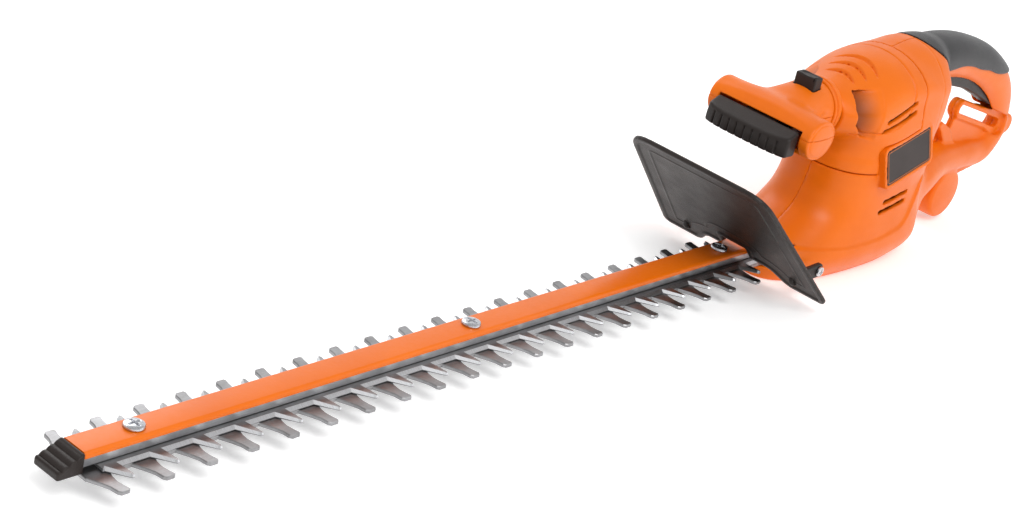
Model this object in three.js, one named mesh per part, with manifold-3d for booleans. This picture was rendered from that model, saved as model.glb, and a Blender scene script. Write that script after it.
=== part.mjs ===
// A corded hedge trimmer, as an assembly of separate pieces.
//
// Sizes are in millimetres, with +Z up.  While the pieces are made, x runs from the tip of the blades
// (0) to the rear handle, y is 0 on the middle plane, and z is 0 on the top of the blade cover strip.
// The last lines move the whole trimmer so that its origin lies on the flat underside of the base
// cover, straight below the axis of the drive gear.

import * as THREE from 'three';
import { mergeVertices } from 'three/addons/utils/BufferGeometryUtils.js';
import Module from 'manifold-3d';

const wasm = await Module();
wasm.setup();

// ---------------------------------------------------------------- driving dimensions

const gap = 0.3;                    // clearance between pieces that meet
const runningGap = 0.06;            // radial clearance of a shaft in its bearing

// Blades
const toothPitch = 27;
const toothCount = 20;
const lastToothX = 513;             // the rearmost long tooth, next to the guard
const longToothReach = 29.8;        // from the middle plane to the blunt tips of the lower blade
const shortToothReach = 23.2;       // the same, to the cutting tips of the upper blade
const shortToothOffset = 8.5;       // how far the short teeth lie behind the long ones at rest
const spineHalfWidth = 12.5;
const upperBladeThickness = 1.8;
const lowerBladeThickness = 2;
const bladeStroke = 7;              // each blade moves this far to either side of its rest place
const bladeGap = 0.3;

// Cover strip, support bar and nose
const stripLead = 2.5;              // from the front of the first long tooth to the strip's end
const stripEnd = 546;
const stripHalfWidth = 8.75;
const stripThickness = 1.2;
const lipDepth = 3.3;
const barDepth = 7.2;
const barEnd = 562;
const noseLength = 15;
const noseFrontDepth = 7.2;

// Blade screws
const firstScrewLead = 32.7;        // from the first tooth to the first screw
const lastScrewX = 510.5;
const bladeScrewRadius = 2.5;
const bladeScrewHeadRadius = 5.6;
const bladeScrewHeadHeight = 2.4;
const nutRadius = 5;
const nutHeight = 3;

// Drive: gear, cams, pinion and motor
const gearAxisX = 604;
const gearModule = 1.5;
const gearTeeth = 40;
const pinionTeeth = 12;
const gearThickness = 6;
const camRadius = 5.5;
const gearPinRadius = 3;
const shaftRadius = 2.5;
const coreRadius = 16;
const coreLength = 40;
const fieldOuterRadius = 29;
const airGap = 0.8;
const fanRadius = 25;
const fanHeight = 7;
const commutatorRadius = 9;
const commutatorLength = 12;
const bearingRadius = 8;
const bearingWidth = 6;
const brushSide = 5;
const brushLength = 11;

// Housing
const wall = 2.6;
const baseDepth = 25;               // from the top of the strip down to the flat underside
const baseCoverThickness = 3;
const creaseHeight = 50;            // where the motor cap sits on the lower housing
const barrelHeight = 90;            // middle of the round motor barrel
const barrelRadius = 37;
const bodyFront = 594;
const bodyRear = 704;
const bodyWidest = 645;
const bodyHalfWidth = 39;
const skirtFront = 548;
const skirtRear = 722;
const skirtHalfWidth = 42;
const capRear = 653;                // where the motor cap ends and the rear housing goes on

// Front handle
const collarX = 580;                // front face of the motor cap
const collarRadius = 19;
const collarWidth = 8;
const neckHeight = 92;
const barX = 527;
const barHeight = 90.5;
const barHalfLength = 41;
const barRadiusX = 15;
const barRadiusZ = 13;
const leverEndMargin = 9;           // from the lever's end to the end of the bar
const leverHeight = 16.5;
const leverDepth = 14;
const buttonX = 560;
const buttonLength = 16;
const buttonWidth = 9;

// Rear handle
const handleRadius = 15;
const handleHalfWidth = 15;
const gripThickness = 2;
const slotLength = 70;
const slotHeight = 7;
const slotRim = 3.6;
const slotThickness = 9;
const triggerHalfWidth = 7;

// Guard
const guardThickness = 3;
const guardTopX = 456;
const guardTopZ = 67;
const guardFootX = 527;             // where its middle line passes the level of the strip
const guardTopHalfWidth = 54;
const guardLowHalfWidth = 68;
const guardLowZ = -17;
const guardNotchHalfWidth = 26;
const guardNotchRise = 14;
const guardCorner = 15;

const leverHalfLength = barHalfLength - leverEndMargin;

// ---------------------------------------------------------------- solids and booleans

/** Turns a closed geometry into a solid that can be joined and cut. */
function solid(geometry) {
  const bare = geometry.clone();
  for (const name of Object.keys(bare.attributes)) {
    if (name !== 'position') {
      bare.deleteAttribute(name);
    }
  }
  const merged = mergeVertices(bare, 1e-4);
  return new wasm.Manifold(new wasm.Mesh({
    numProp: 3,
    vertProperties: new Float32Array(merged.attributes.position.array),
    triVerts: new Uint32Array(merged.index.array),
  }));
}

/** Turns a solid back into a geometry with flat faces. */
function geometryOf(body) {
  const mesh = body.getMesh();
  const geometry = new THREE.BufferGeometry();
  geometry.setAttribute('position', new THREE.BufferAttribute(mesh.vertProperties, 3));
  geometry.setIndex(new THREE.BufferAttribute(mesh.triVerts, 1));
  const flat = geometry.toNonIndexed();
  flat.computeVertexNormals();
  return flat;
}

/** Joins any number of solids. */
function join(first, ...others) {
  return others.reduce((sum, other) => sum.add(other), first);
}

/** Cuts any number of solids out of the first. */
function cut(first, ...others) {
  return others.reduce((rest, other) => rest.subtract(other), first);
}

/** A box between two corners. */
function block(x0, x1, y0, y1, z0, z1) {
  const geometry = new THREE.BoxGeometry(x1 - x0, y1 - y0, z1 - z0);
  geometry.translate((x0 + x1) / 2, (y0 + y1) / 2, (z0 + z1) / 2);
  return solid(geometry);
}

/** A cylinder that stands on z0 and ends at z1. */
function post(radius, x, y, z0, z1, sides = 24) {
  const geometry = new THREE.CylinderGeometry(radius, radius, z1 - z0, sides);
  geometry.rotateX(Math.PI / 2);
  geometry.translate(x, y, (z0 + z1) / 2);
  return solid(geometry);
}

/** A cylinder along y, from y0 to y1. */
function axleY(radius, x, z, y0, y1, sides = 20) {
  const geometry = new THREE.CylinderGeometry(radius, radius, y1 - y0, sides);
  geometry.translate(x, (y0 + y1) / 2, z);
  return solid(geometry);
}

/** A cylinder along x, from x0 to x1. */
function axleX(radius, y, z, x0, x1, sides = 28) {
  const geometry = new THREE.CylinderGeometry(radius, radius, x1 - x0, sides);
  geometry.rotateZ(Math.PI / 2);
  geometry.translate((x0 + x1) / 2, y, z);
  return solid(geometry);
}

/** An outline in x and y, raised from z0 to z1. */
function plate(points, z0, z1, holes = []) {
  const shape = new THREE.Shape(points.map(([x, y]) => new THREE.Vector2(x, y)));
  for (const hole of holes) {
    shape.holes.push(new THREE.Path(hole.map(([x, y]) => new THREE.Vector2(x, y))));
  }
  const geometry = new THREE.ExtrudeGeometry(shape, { depth: z1 - z0, bevelEnabled: false });
  geometry.translate(0, 0, z0);
  return solid(geometry);
}

/** An outline in x and z, given its width from y0 to y1. */
function profile(points, y0, y1) {
  const shape = new THREE.Shape(points.map(([x, z]) => new THREE.Vector2(x, z)));
  const geometry = new THREE.ExtrudeGeometry(shape, { depth: y1 - y0, bevelEnabled: false });
  geometry.rotateX(Math.PI / 2);
  geometry.translate(0, y1, 0);
  return solid(geometry);
}

/** A closed skin through rings of points, with a flat cap on the first and the last ring. */
function loft(rings) {
  const count = rings[0].length;
  const positions = [];
  const index = [];
  for (const ring of rings) {
    for (const point of ring) {
      positions.push(point.x, point.y, point.z);
    }
  }
  for (let i = 0; i + 1 < rings.length; i += 1) {
    for (let j = 0; j < count; j += 1) {
      const next = (j + 1) % count;
      const a = i * count + j;
      const b = i * count + next;
      const c = (i + 1) * count + next;
      const d = (i + 1) * count + j;
      index.push(a, b, c, a, c, d);
    }
  }
  for (const [ringIndex, flip] of [[0, true], [rings.length - 1, false]]) {
    const centre = new THREE.Vector3();
    for (const point of rings[ringIndex]) {
      centre.addScaledVector(point, 1 / count);
    }
    const hub = positions.length / 3;
    positions.push(centre.x, centre.y, centre.z);
    for (let j = 0; j < count; j += 1) {
      const a = ringIndex * count + j;
      const b = ringIndex * count + (j + 1) % count;
      index.push(...(flip ? [hub, b, a] : [hub, a, b]));
    }
  }
  const geometry = new THREE.BufferGeometry();
  geometry.setAttribute('position', new THREE.Float32BufferAttribute(positions, 3));
  geometry.setIndex(index);
  return solid(geometry);
}

/** The power curve of a rounded box: 1 keeps the circle, less makes it squarer. */
function squared(value, power) {
  return Math.sign(value) * Math.abs(value) ** power;
}

/** A level ring of the housing: front, rear and half-width about its widest place. */
function levelRing({ z, front, rear, widest, half, power = 0.8 }, inset = 0, count = 24) {
  const ring = [];
  for (let i = 0; i < count; i += 1) {
    const turn = (i / count) * 2 * Math.PI;
    const along = squared(Math.cos(turn), power);
    const across = squared(Math.sin(turn), power);
    const reach = along > 0 ? rear - widest : widest - front;
    const x = widest + along * (reach - inset);
    const y = across * (half - inset);
    ring.push(new THREE.Vector3(x, y, z));
  }
  return ring;
}

/** An upright ring across x: centre height, half-width and half-height. */
function crossRing({ x, z, half, rise, power = 0.9 }, inset = 0, count = 20) {
  const ring = [];
  for (let i = 0; i < count; i += 1) {
    const turn = (i / count) * 2 * Math.PI;
    const y = squared(Math.cos(turn), power) * (half - inset);
    const up = squared(Math.sin(turn), power) * (rise - inset);
    ring.push(new THREE.Vector3(x, y, z + up));
  }
  return ring;
}

/** A tube of oval section along a path in the middle plane, from points [x, z, half height, half width]. */
function limb(points, inset = 0, steps = 18, count = 12) {
  const path = new THREE.CatmullRomCurve3(points.map(([x, z]) => new THREE.Vector3(x, 0, z)));
  const sizes = new THREE.CatmullRomCurve3(points.map(([, , a, b]) => new THREE.Vector3(a, b, 0)));
  const rings = [];
  for (let i = 0; i <= steps; i += 1) {
    const t = i / steps;
    const centre = path.getPoint(t);
    const along = path.getTangent(t);
    const out = new THREE.Vector3(-along.z, 0, along.x);
    const size = sizes.getPoint(t);
    const ring = [];
    for (let j = 0; j < count; j += 1) {
      const turn = (j / count) * 2 * Math.PI;
      const up = squared(Math.sin(turn), 0.9) * (size.x - inset);
      const side = squared(Math.cos(turn), 0.9) * (size.y - inset);
      ring.push(centre.clone().addScaledVector(out, up).add(new THREE.Vector3(0, side, 0)));
    }
    rings.push(ring);
  }
  return loft(rings);
}

// ---------------------------------------------------------------- the assembly

const trimmer = new THREE.Group();
trimmer.name = 'hedge_trimmer';

const finishes = {
  orangePlastic: { color: 0xe8661a, roughness: 0.42, metalness: 0 },
  orangeSteel: { color: 0xee7722, roughness: 0.35, metalness: 0.1 },
  blackPlastic: { color: 0x2e2826, roughness: 0.55, metalness: 0 },
  softGrip: { color: 0x3a383a, roughness: 0.75, metalness: 0 },
  bladeSteel: { color: 0xb9b7b5, roughness: 0.32, metalness: 0.9 },
  aluminium: { color: 0xc9c9cc, roughness: 0.25, metalness: 1 },
  zinc: { color: 0xd0d2d4, roughness: 0.3, metalness: 1 },
  copper: { color: 0xb06a3a, roughness: 0.35, metalness: 1 },
  brass: { color: 0xc9a24a, roughness: 0.3, metalness: 1 },
  castAluminium: { color: 0x9c9ea1, roughness: 0.5, metalness: 0.9 },
  carbon: { color: 0x2b2b2d, roughness: 0.8, metalness: 0.1 },
};

/** Adds one named piece to the trimmer. */
function add(name, body, finish) {
  const mesh = new THREE.Mesh(geometryOf(body), new THREE.MeshStandardMaterial(finishes[finish]));
  mesh.name = name;
  trimmer.add(mesh);
  return mesh;
}

// The row of teeth grows forward from the last tooth, and the strip and its screws go with it.
const bladeFront = lastToothX - (toothCount - 1) * toothPitch;
const stripStart = bladeFront - stripLead;
const firstScrewX = bladeFront + firstScrewLead;
const bladeScrewPlaces = [firstScrewX, (firstScrewX + lastScrewX) / 2 + 1.2, lastScrewX];

// Levels that the blade stack shares, from the strip downwards.
const barTop = -stripThickness - gap;
const barBottom = barTop - barDepth;
const upperBladeTop = barBottom - bladeGap;
const upperBladeBottom = upperBladeTop - upperBladeThickness;
const lowerBladeTop = upperBladeBottom - bladeGap;
const lowerBladeBottom = lowerBladeTop - lowerBladeThickness;
const nutTop = lowerBladeBottom - bladeGap;

// ---- blades, strip, bar, nose and screws

/** A stadium-shaped opening along x. */
function longHole(x, halfLength, radius, z0, z1) {
  return join(
    block(x - halfLength, x + halfLength, -radius, radius, z0, z1),
    post(radius, x - halfLength, 0, z0, z1, 10),
    post(radius, x + halfLength, 0, z0, z1, 10),
  );
}

/** The outline of a blade: a spine with the same tooth on both edges, one for each pitch. */
function bladeOutline(start, tooth, end) {
  const near = [];
  const far = [];
  for (let i = 0; i < toothCount; i += 1) {
    for (const [x, y] of tooth) {
      near.push([bladeFront + i * toothPitch + x, -y]);
      far.push([bladeFront + i * toothPitch + x, y]);
    }
  }
  return [
    [start, -spineHalfWidth],
    ...near,
    [end, -spineHalfWidth],
    [end, spineHalfWidth],
    ...far.reverse(),
    [start, spineHalfWidth],
  ];
}

const camLift = bladeStroke;
const yokeHalfLength = camLift + camRadius + bladeStroke + 1;
const yokeHalfWidth = camLift + camRadius + 1;
const yokeRim = 6;
const bladeEnd = gearAxisX + yokeHalfLength + yokeRim;

/** One blade: toothed spine, slots for the screws and the yoke that the cam works in. */
function blade(start, tooth, top, bottom) {
  const lastTooth = lastToothX + tooth[tooth.length - 1][0];
  const yoke = block(
    gearAxisX - yokeHalfLength - yokeRim, bladeEnd,
    -yokeHalfWidth - yokeRim, yokeHalfWidth + yokeRim, bottom, top,
  );
  const window = block(
    gearAxisX - yokeHalfLength, gearAxisX + yokeHalfLength,
    -yokeHalfWidth, yokeHalfWidth, bottom - 1, top + 1,
  );
  const slots = bladeScrewPlaces.map((x) => (
    longHole(x, bladeStroke + gap, bladeScrewRadius + gap, bottom - 1, top + 1)
  ));
  const spine = plate(bladeOutline(start, tooth, Math.max(lastTooth + 6, barEnd)), bottom, top);
  const tail = block(lastTooth, gearAxisX - yokeHalfLength - 1, -spineHalfWidth, spineHalfWidth, bottom, top);
  return cut(join(spine, tail, yoke), window, ...slots);
}

// Each tooth runs from its front root, round its tip, to its rear root.
const longTooth = [
  [-3.3, spineHalfWidth],
  [2.9, longToothReach - 1],
  [4, longToothReach],
  [9, longToothReach],
  [9.8, longToothReach - 1],
  [8.6, longToothReach - 6],
  [10.4, spineHalfWidth],
];
const shortTooth = [
  [-1.2, spineHalfWidth],
  [6.6, shortToothReach],
  [8.6, shortToothReach],
  [9.4, shortToothReach - 1.5],
  [9.2, spineHalfWidth],
].map(([x, y]) => [x + shortToothOffset, y]);

const bladeStart = bladeFront - 3.6;
add('lower_blade', blade(bladeStart, longTooth, lowerBladeTop, lowerBladeBottom), 'bladeSteel');
add('upper_blade', blade(bladeFront + bladeStroke - 1, shortTooth, upperBladeTop, upperBladeBottom), 'bladeSteel');

const screwHoles = bladeScrewPlaces.map((x) => post(bladeScrewRadius + gap, x, 0, barBottom - 1, 1, 12));
const lipInner = stripHalfWidth - stripThickness + 0.05;
const strip = cut(
  block(stripStart, stripEnd, -stripHalfWidth, stripHalfWidth, -lipDepth, 0),
  block(stripStart - 1, stripEnd + 1, -lipInner, lipInner, -lipDepth - 1, -stripThickness),
  ...screwHoles,
);
add('cover_strip', strip, 'orangeSteel');

const barHalfWidth = lipInner - gap;
const supportBar = cut(
  block(stripStart, barEnd, -barHalfWidth, barHalfWidth, barBottom, barTop),
  ...screwHoles,
);
add('support_bar', supportBar, 'aluminium');

const noseBack = stripStart - gap;
const noseFront = noseBack - noseLength;
const noseBottom = lowerBladeTop + gap;
const noseHalfWidth = stripHalfWidth + 0.5;
const nose = profile([
  [noseBack, 0],
  [noseFront + 1, -noseFrontDepth + 0.6],
  [noseFront, -noseFrontDepth],
  [noseFront, noseBottom],
  [noseBack, noseBottom],
], -noseHalfWidth, noseHalfWidth);
add('nose', nose, 'blackPlastic');

bladeScrewPlaces.forEach((x, i) => {
  const screw = join(
    post(bladeScrewRadius, x, 0, nutTop - nutHeight - 1, 1, 12),
    post(bladeScrewHeadRadius, x, 0, gap, gap + bladeScrewHeadHeight, 20),
  );
  add(`blade_screw_${i + 1}`, screw, 'zinc');
  const nut = cut(
    post(nutRadius, x, 0, nutTop - nutHeight, nutTop, 6),
    post(bladeScrewRadius + runningGap, x, 0, nutTop - nutHeight - 1, nutTop + 1, 12),
  );
  add(`blade_nut_${i + 1}`, nut, 'zinc');
});

// ---- drive gear, cams, pinion and armature

/** The outline of a straight-toothed wheel with thin teeth, turned by a part of a tooth. */
function gearOutline(teeth, phase) {
  const pitchRadius = (gearModule * teeth) / 2;
  const tip = pitchRadius + 0.7 * gearModule;
  const root = pitchRadius - 1.15 * gearModule;
  const points = [];
  for (let i = 0; i < teeth; i += 1) {
    for (const [share, radius] of [[-0.24, root], [-0.09, tip], [0.09, tip], [0.24, root]]) {
      const turn = ((i + share + phase) / teeth) * 2 * Math.PI;
      points.push([radius * Math.cos(turn), radius * Math.sin(turn)]);
    }
  }
  return points;
}

const gearPitchRadius = (gearModule * gearTeeth) / 2;
const motorX = gearAxisX + (gearModule * (gearTeeth + pinionTeeth)) / 2;
const gearBottom = upperBladeTop + bladeGap;
const gearTop = gearBottom + gearThickness;

const wheel = plate(gearOutline(gearTeeth, 0), gearBottom, gearTop);
const gearBlank = wheel.translate([gearAxisX, 0, 0]);
const upperCam = post(camRadius, gearAxisX, camLift, upperBladeBottom - bladeGap / 2, gearBottom + 1, 20);
const lowerCam = post(camRadius, gearAxisX, -camLift, lowerBladeBottom, upperBladeBottom, 20);
const camWeb = post(camRadius + 1.2, gearAxisX, 0, lowerBladeBottom, gearBottom + 1, 20);
const driveGear = cut(
  join(gearBlank, upperCam, camWeb, lowerCam),
  post(gearPinRadius + runningGap, gearAxisX, 0, lowerBladeBottom - 1, gearTop + 1, 16),
);
add('drive_gear', driveGear, 'zinc');

const plateTop = -baseDepth + baseCoverThickness;
const gearCaseBottom = gearTop + gap;
const gearCaseTop = gearCaseBottom + 4;
add('gear_pin', post(gearPinRadius, gearAxisX, 0, plateTop + gap, gearCaseBottom - gap, 16), 'zinc');

const bearingBottom = gearCaseTop + gap;
const fanBottom = bearingBottom + bearingWidth + 2;
const coreBottom = fanBottom + fanHeight + 12;
const coreTop = coreBottom + coreLength;
const commutatorBottom = coreTop + 9;
const commutatorTop = commutatorBottom + commutatorLength;
const topBearingBottom = commutatorTop + 3;
const shaftBottom = gearBottom;
const shaftTop = topBearingBottom + bearingWidth;

const pinion = plate(gearOutline(pinionTeeth, 0.5), gearBottom, gearTop).translate([motorX, 0, 0]);
add('armature_shaft', join(pinion, post(shaftRadius, motorX, 0, shaftBottom, shaftTop, 16)), 'zinc');

/** A ring about the motor axis. */
function motorRing(outer, inner, z0, z1, sides = 20) {
  return cut(post(outer, motorX, 0, z0, z1, sides), post(inner, motorX, 0, z0 - 1, z1 + 1, sides));
}

const onShaft = shaftRadius + gap;
const armatureSlots = [];
for (let i = 0; i < 8; i += 1) {
  const turn = ((i + 0.5) / 8) * 2 * Math.PI;
  const x = motorX + coreRadius * Math.cos(turn);
  const y = coreRadius * Math.sin(turn);
  armatureSlots.push(post(2.2, x, y, coreBottom - 1, coreTop + 1, 8));
}
add('armature_core', cut(motorRing(coreRadius, onShaft, coreBottom, coreTop), ...armatureSlots), 'bladeSteel');
add('armature_winding', motorRing(coreRadius - 3, onShaft, coreTop + gap, commutatorBottom - gap), 'copper');
add('commutator', motorRing(commutatorRadius, onShaft, commutatorBottom, commutatorTop), 'copper');

const fanBlades = [];
for (let i = 0; i < 9; i += 1) {
  const vane = new THREE.BoxGeometry(fanRadius - 8, 1.4, fanHeight);
  vane.translate((fanRadius + 7) / 2, 0, fanBottom + fanHeight / 2);
  vane.rotateZ((i / 9) * 2 * Math.PI);
  vane.translate(motorX, 0, 0);
  fanBlades.push(solid(vane));
}
const fan = join(
  motorRing(9, onShaft, fanBottom, fanBottom + fanHeight, 16),
  motorRing(fanRadius, onShaft, fanBottom, fanBottom + 1.6, 24),
  ...fanBlades,
);
add('cooling_fan', fan, 'blackPlastic');
add('lower_bearing', motorRing(bearingRadius, shaftRadius + runningGap, bearingBottom, bearingBottom + bearingWidth, 20), 'zinc');
add('upper_bearing', motorRing(bearingRadius, shaftRadius + runningGap, topBearingBottom, shaftTop, 20), 'zinc');
add('field_core', motorRing(fieldOuterRadius, coreRadius + airGap, coreBottom, coreTop), 'bladeSteel');
add('field_winding_top', motorRing(fieldOuterRadius - 3, coreRadius + airGap, coreTop + gap, coreTop + 7), 'copper');
add('field_winding_bottom', motorRing(fieldOuterRadius - 3, coreRadius + airGap, coreBottom - 7, coreBottom - gap), 'copper');

for (const [side, sign] of [['left', -1], ['right', 1]]) {
  const middle = (commutatorBottom + commutatorTop) / 2;
  const inner = commutatorRadius + gap;
  const halfSide = brushSide / 2;
  const carbon = block(-halfSide, halfSide, inner, inner + brushLength, middle - halfSide, middle + halfSide);
  const holderSide = halfSide + gap;
  const holder = cut(
    block(-holderSide - 1, holderSide + 1, inner + 2, inner + brushLength + 4, middle - holderSide - 1, middle + holderSide + 1),
    block(-holderSide, holderSide, inner + 1, inner + brushLength + gap, middle - holderSide, middle + holderSide),
  );
  const turned = (body) => (sign > 0 ? body : body.rotate([0, 0, 180])).translate([motorX, 0, 0]);
  add(`brush_${side}`, turned(carbon), 'carbon');
  add(`brush_holder_${side}`, turned(holder), 'brass');
}

// ---- housing: a lower housing in two halves with the rear handle, and the motor cap

const base = -baseDepth;
const bodyRings = [
  { z: base, front: skirtFront + 8, rear: skirtRear - 22, widest: 622, half: skirtHalfWidth - 16 },
  { z: base + 5, front: skirtFront + 2, rear: skirtRear - 10, widest: 622, half: skirtHalfWidth - 9 },
  { z: base + 12, front: skirtFront, rear: skirtRear - 3, widest: 622, half: skirtHalfWidth - 3 },
  { z: base + 20, front: skirtFront + 2, rear: skirtRear, widest: 622, half: skirtHalfWidth },
  { z: 0, front: skirtFront + 9, rear: skirtRear + 1, widest: 626, half: skirtHalfWidth },
  { z: 9, front: bodyFront - 22, rear: skirtRear + 1, widest: 634, half: bodyHalfWidth + 1 },
  { z: 18, front: bodyFront - 9, rear: skirtRear, widest: 640, half: bodyHalfWidth - 1 },
  { z: 30, front: bodyFront - 3, rear: skirtRear - 1, widest: bodyWidest, half: bodyHalfWidth - 2 },
  { z: creaseHeight, front: bodyFront, rear: bodyRear + 14, widest: bodyWidest, half: bodyHalfWidth },
  { z: 80, front: bodyFront + 3, rear: bodyRear + 2, widest: bodyWidest, half: bodyHalfWidth - 3 },
  { z: 104, front: bodyFront + 18, rear: bodyRear - 9, widest: bodyWidest, half: bodyHalfWidth - 16 },
];
const barrelRings = [
  { x: collarX, z: neckHeight, half: collarRadius - 1, rise: collarRadius - 1 },
  { x: collarX + 5, z: neckHeight, half: collarRadius + 2, rise: collarRadius + 2 },
  { x: collarX + 16, z: barrelHeight, half: barrelRadius - 10, rise: barrelRadius - 13 },
  { x: collarX + 30, z: barrelHeight, half: barrelRadius - 5, rise: barrelRadius - 8 },
  { x: collarX + 46, z: barrelHeight, half: barrelRadius - 1, rise: barrelRadius - 4 },
  { x: bodyWidest, z: barrelHeight, half: barrelRadius, rise: barrelRadius - 1.5 },
  { x: bodyWidest + 28, z: barrelHeight, half: barrelRadius - 1, rise: barrelRadius },
  { x: bodyRear - 8, z: barrelHeight, half: barrelRadius - 6, rise: barrelRadius - 4 },
];

function bodySolid(inset) {
  const tower = loft(bodyRings.map((ring, i) => (
    levelRing({ ...ring, z: ring.z - (i === 0 && inset > 0 ? 1 : 0) }, inset)
  )));
  const barrel = loft(barrelRings.map((ring, i) => {
    const ends = i === 0 ? -inset : 0;
    return crossRing({ ...ring, x: ring.x + (i === barrelRings.length - 1 ? -inset : ends) }, inset);
  }));
  return join(tower, barrel);
}

const bodyOuter = bodySolid(0);
const bodyInner = bodySolid(wall);

// The rear handle: [x, z, half height, half width] along its middle line.
const gripLine = [
  [672, 104, 18, 20],
  [694, 107, 18, 18],
  [722, 108.5, handleRadius + 1, handleHalfWidth + 1],
  [756, 104, handleRadius, handleHalfWidth],
  [792, 91.5, handleRadius, handleHalfWidth],
  [822, 71, handleRadius, handleHalfWidth],
  [838, 47, handleRadius - 1, handleHalfWidth - 1],
  [843, 34, 12, 12],
  [833, 24, 11.5, 12],
  [800, 23, 11.5, 13],
  [762, 24, 13, 17],
  [724, 20, 17, 26],
  [700, 14, 20, 30],
];
const handleOuter = limb(gripLine, 0);
const handleInner = limb(gripLine, wall);

const rearBossRadius = 19;
const rearBossX = 777;
const rearBossZ = -2;
const rearBossHalf = 14;

/** The round housing of the power inlet, at the bottom of the rear handle. */
function rearBoss(inset) {
  const half = rearBossHalf - inset;
  return axleY(rearBossRadius - inset, rearBossX, rearBossZ, -half, half, 24);
}

// The cord retainer: a sloping loop in front of the rear of the handle, on a web that stands on the
// lower arm, with a round boss behind it.
const slotTilt = 17.5;
const slotX = 809;
const slotZ = 52;

/** A round-ended bar about the middle of the cord slot. */
function slotBar(halfLength, halfHeight, y0, y1) {
  const bar = join(
    block(-halfLength + halfHeight, halfLength - halfHeight, y0, y1, -halfHeight, halfHeight),
    axleY(halfHeight, halfLength - halfHeight, 0, y0, y1, 12),
    axleY(halfHeight, -halfLength + halfHeight, 0, y0, y1, 12),
  );
  return bar.rotate([0, slotTilt, 0]).translate([slotX, 0, slotZ]);
}

const slotHalf = slotThickness / 2;
const slotLoop = slotBar(slotLength / 2 + slotRim, slotHeight / 2 + slotRim, -slotHalf, slotHalf);
const slotHole = slotBar(slotLength / 2, slotHeight / 2, -60, 60);
const retainerBossRadius = 8;
const retainerBoss = axleY(retainerBossRadius, slotX + 45, slotZ - 12, -slotHalf - 3, slotHalf + 3, 20);
const retainerWeb = profile([
  [slotX - 19, 6],
  [slotX - 36, 40],
  [slotX - 33, slotZ + 4],
  [slotX + 12, slotZ - 10],
  [slotX + 40, slotZ - 18],
  [slotX + 26, 12],
], -2.5, 2.5);
const hook = profile([
  [768, 4],
  [768, 28],
  [764, 40],
  [754, 51],
  [757, 54],
  [770, 47],
  [782, 32],
  [792, 6],
], -slotHalf, slotHalf);

// The motor cap ends at a level crease below and at a leaning line behind.
const far = 2000;

/** The space that the motor cap fills, grown by a clearance on the sides that meet the housing. */
function capSpace(clearance) {
  const back = capRear + clearance;
  return profile([
    [collarX - 30, creaseHeight - clearance],
    [back - 26, creaseHeight - clearance],
    [back - 8, creaseHeight + 10],
    [back + 2, creaseHeight + 34],
    [back, creaseHeight + far],
    [collarX - 30, creaseHeight + far],
  ], -far, far);
}

const ventHeight = 2;
const ventSpacing = 7;

/** Two cooling slots that go through both sides of a shell, rising towards the rear. */
function vents(x, z, length, rise) {
  const slots = [0, 1].map((step) => (
    block(-length / 2, length / 2, -60, 60, -ventHeight / 2, ventHeight / 2)
      .rotate([0, -rise, 0])
      .translate([x + step * 2, 0, z - step * ventSpacing])
  ));
  return join(...slots);
}

const motorCap = cut(bodyOuter.intersect(capSpace(0)), bodyInner, vents(618, 97, 34, 28));
add('motor_cap', motorCap, 'orangePlastic');

// The fins below the skirt stand on the same plane as the base cover.
const finHalf = skirtHalfWidth - 16;
const fins = [-1, 1].map((sign) => {
  const inner = sign > 0 ? finHalf - 3 : -finHalf;
  return block(skirtFront + 20, skirtFront + 60, inner, inner + 3, base, base + 10);
});

// ---- rear trigger

const triggerPivotX = 727;
const triggerPivotZ = 97;
const triggerPinRadius = 2;
const triggerPoints = [
  [718, 88],
  [745, 86],
  [770, 80.5],
  [790, 73.5],
  [806, 68],
  [820, 63],
  [827, 66],
  [806, 83],
  [780, 95],
  [750, 101],
  [727, 104],
  [718, 101],
];
const triggerBore = axleY(triggerPinRadius + runningGap, triggerPivotX, triggerPivotZ, -20, 20, 14);
const trigger = cut(profile(triggerPoints, -triggerHalfWidth, triggerHalfWidth), triggerBore);
add('rear_trigger', trigger, 'blackPlastic');
const triggerPinHalf = triggerHalfWidth + 3;
const triggerPin = axleY(triggerPinRadius, triggerPivotX, triggerPivotZ, -triggerPinHalf, triggerPinHalf, 14);
add('trigger_pin', triggerPin, 'zinc');
const triggerSlot = profile([
  [713, 70],
  [713, 110],
  [750, 106],
  [790, 92],
  [822, 72],
  [833, 62],
  [828, 50],
  [800, 60],
  [770, 70],
], -triggerHalfWidth - 0.8, triggerHalfWidth + 0.8);

const rearSwitch = block(746, 764, -5, 5, 104.5, 111);
add('rear_switch', rearSwitch, 'blackPlastic');

// ---- screws that hold the two halves of the lower housing together

const housingScrews = [
  { x: 689, z: 100, half: 25 },
  { x: 844, z: 27, half: 10 },
  { x: 716, z: 14, half: 24 },
];
const screwRadius = 2;
const screwBosses = housingScrews.map(({ x, z, half }) => axleY(screwRadius + 2.6, x, z, -half, half, 12));
const screwBores = housingScrews.map(({ x, z, half }) => join(
  axleY(screwRadius + gap, x, z, -half + 3, far, 12),
  axleY(screwRadius + 2 + gap, x, z, half - 1, far, 16),
));
housingScrews.forEach(({ x, z, half }, i) => {
  const screw = join(
    axleY(screwRadius, x, z, -half + 3 + gap, half, 12),
    axleY(screwRadius + 2, x, z, half - 1 + gap, half + 1.5, 16),
  );
  add(`housing_screw_${i + 1}`, screw, 'zinc');
});

// ---- lower housing halves

const mouthHalf = yokeHalfWidth + yokeRim + 2;
const bladeMouth = block(skirtFront - 30, gearAxisX - 20, -mouthHalf, mouthHalf, lowerBladeBottom - 2, 1.5);
const inletX = rearBossX + rearBossRadius - 14;
const inletRadius = 7;
const inletZ = rearBossZ - 10.5;
const inletBore = axleX(inletRadius + gap, 0, inletZ, inletX - 2, rearBossX + rearBossRadius + 5, 20);

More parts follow.
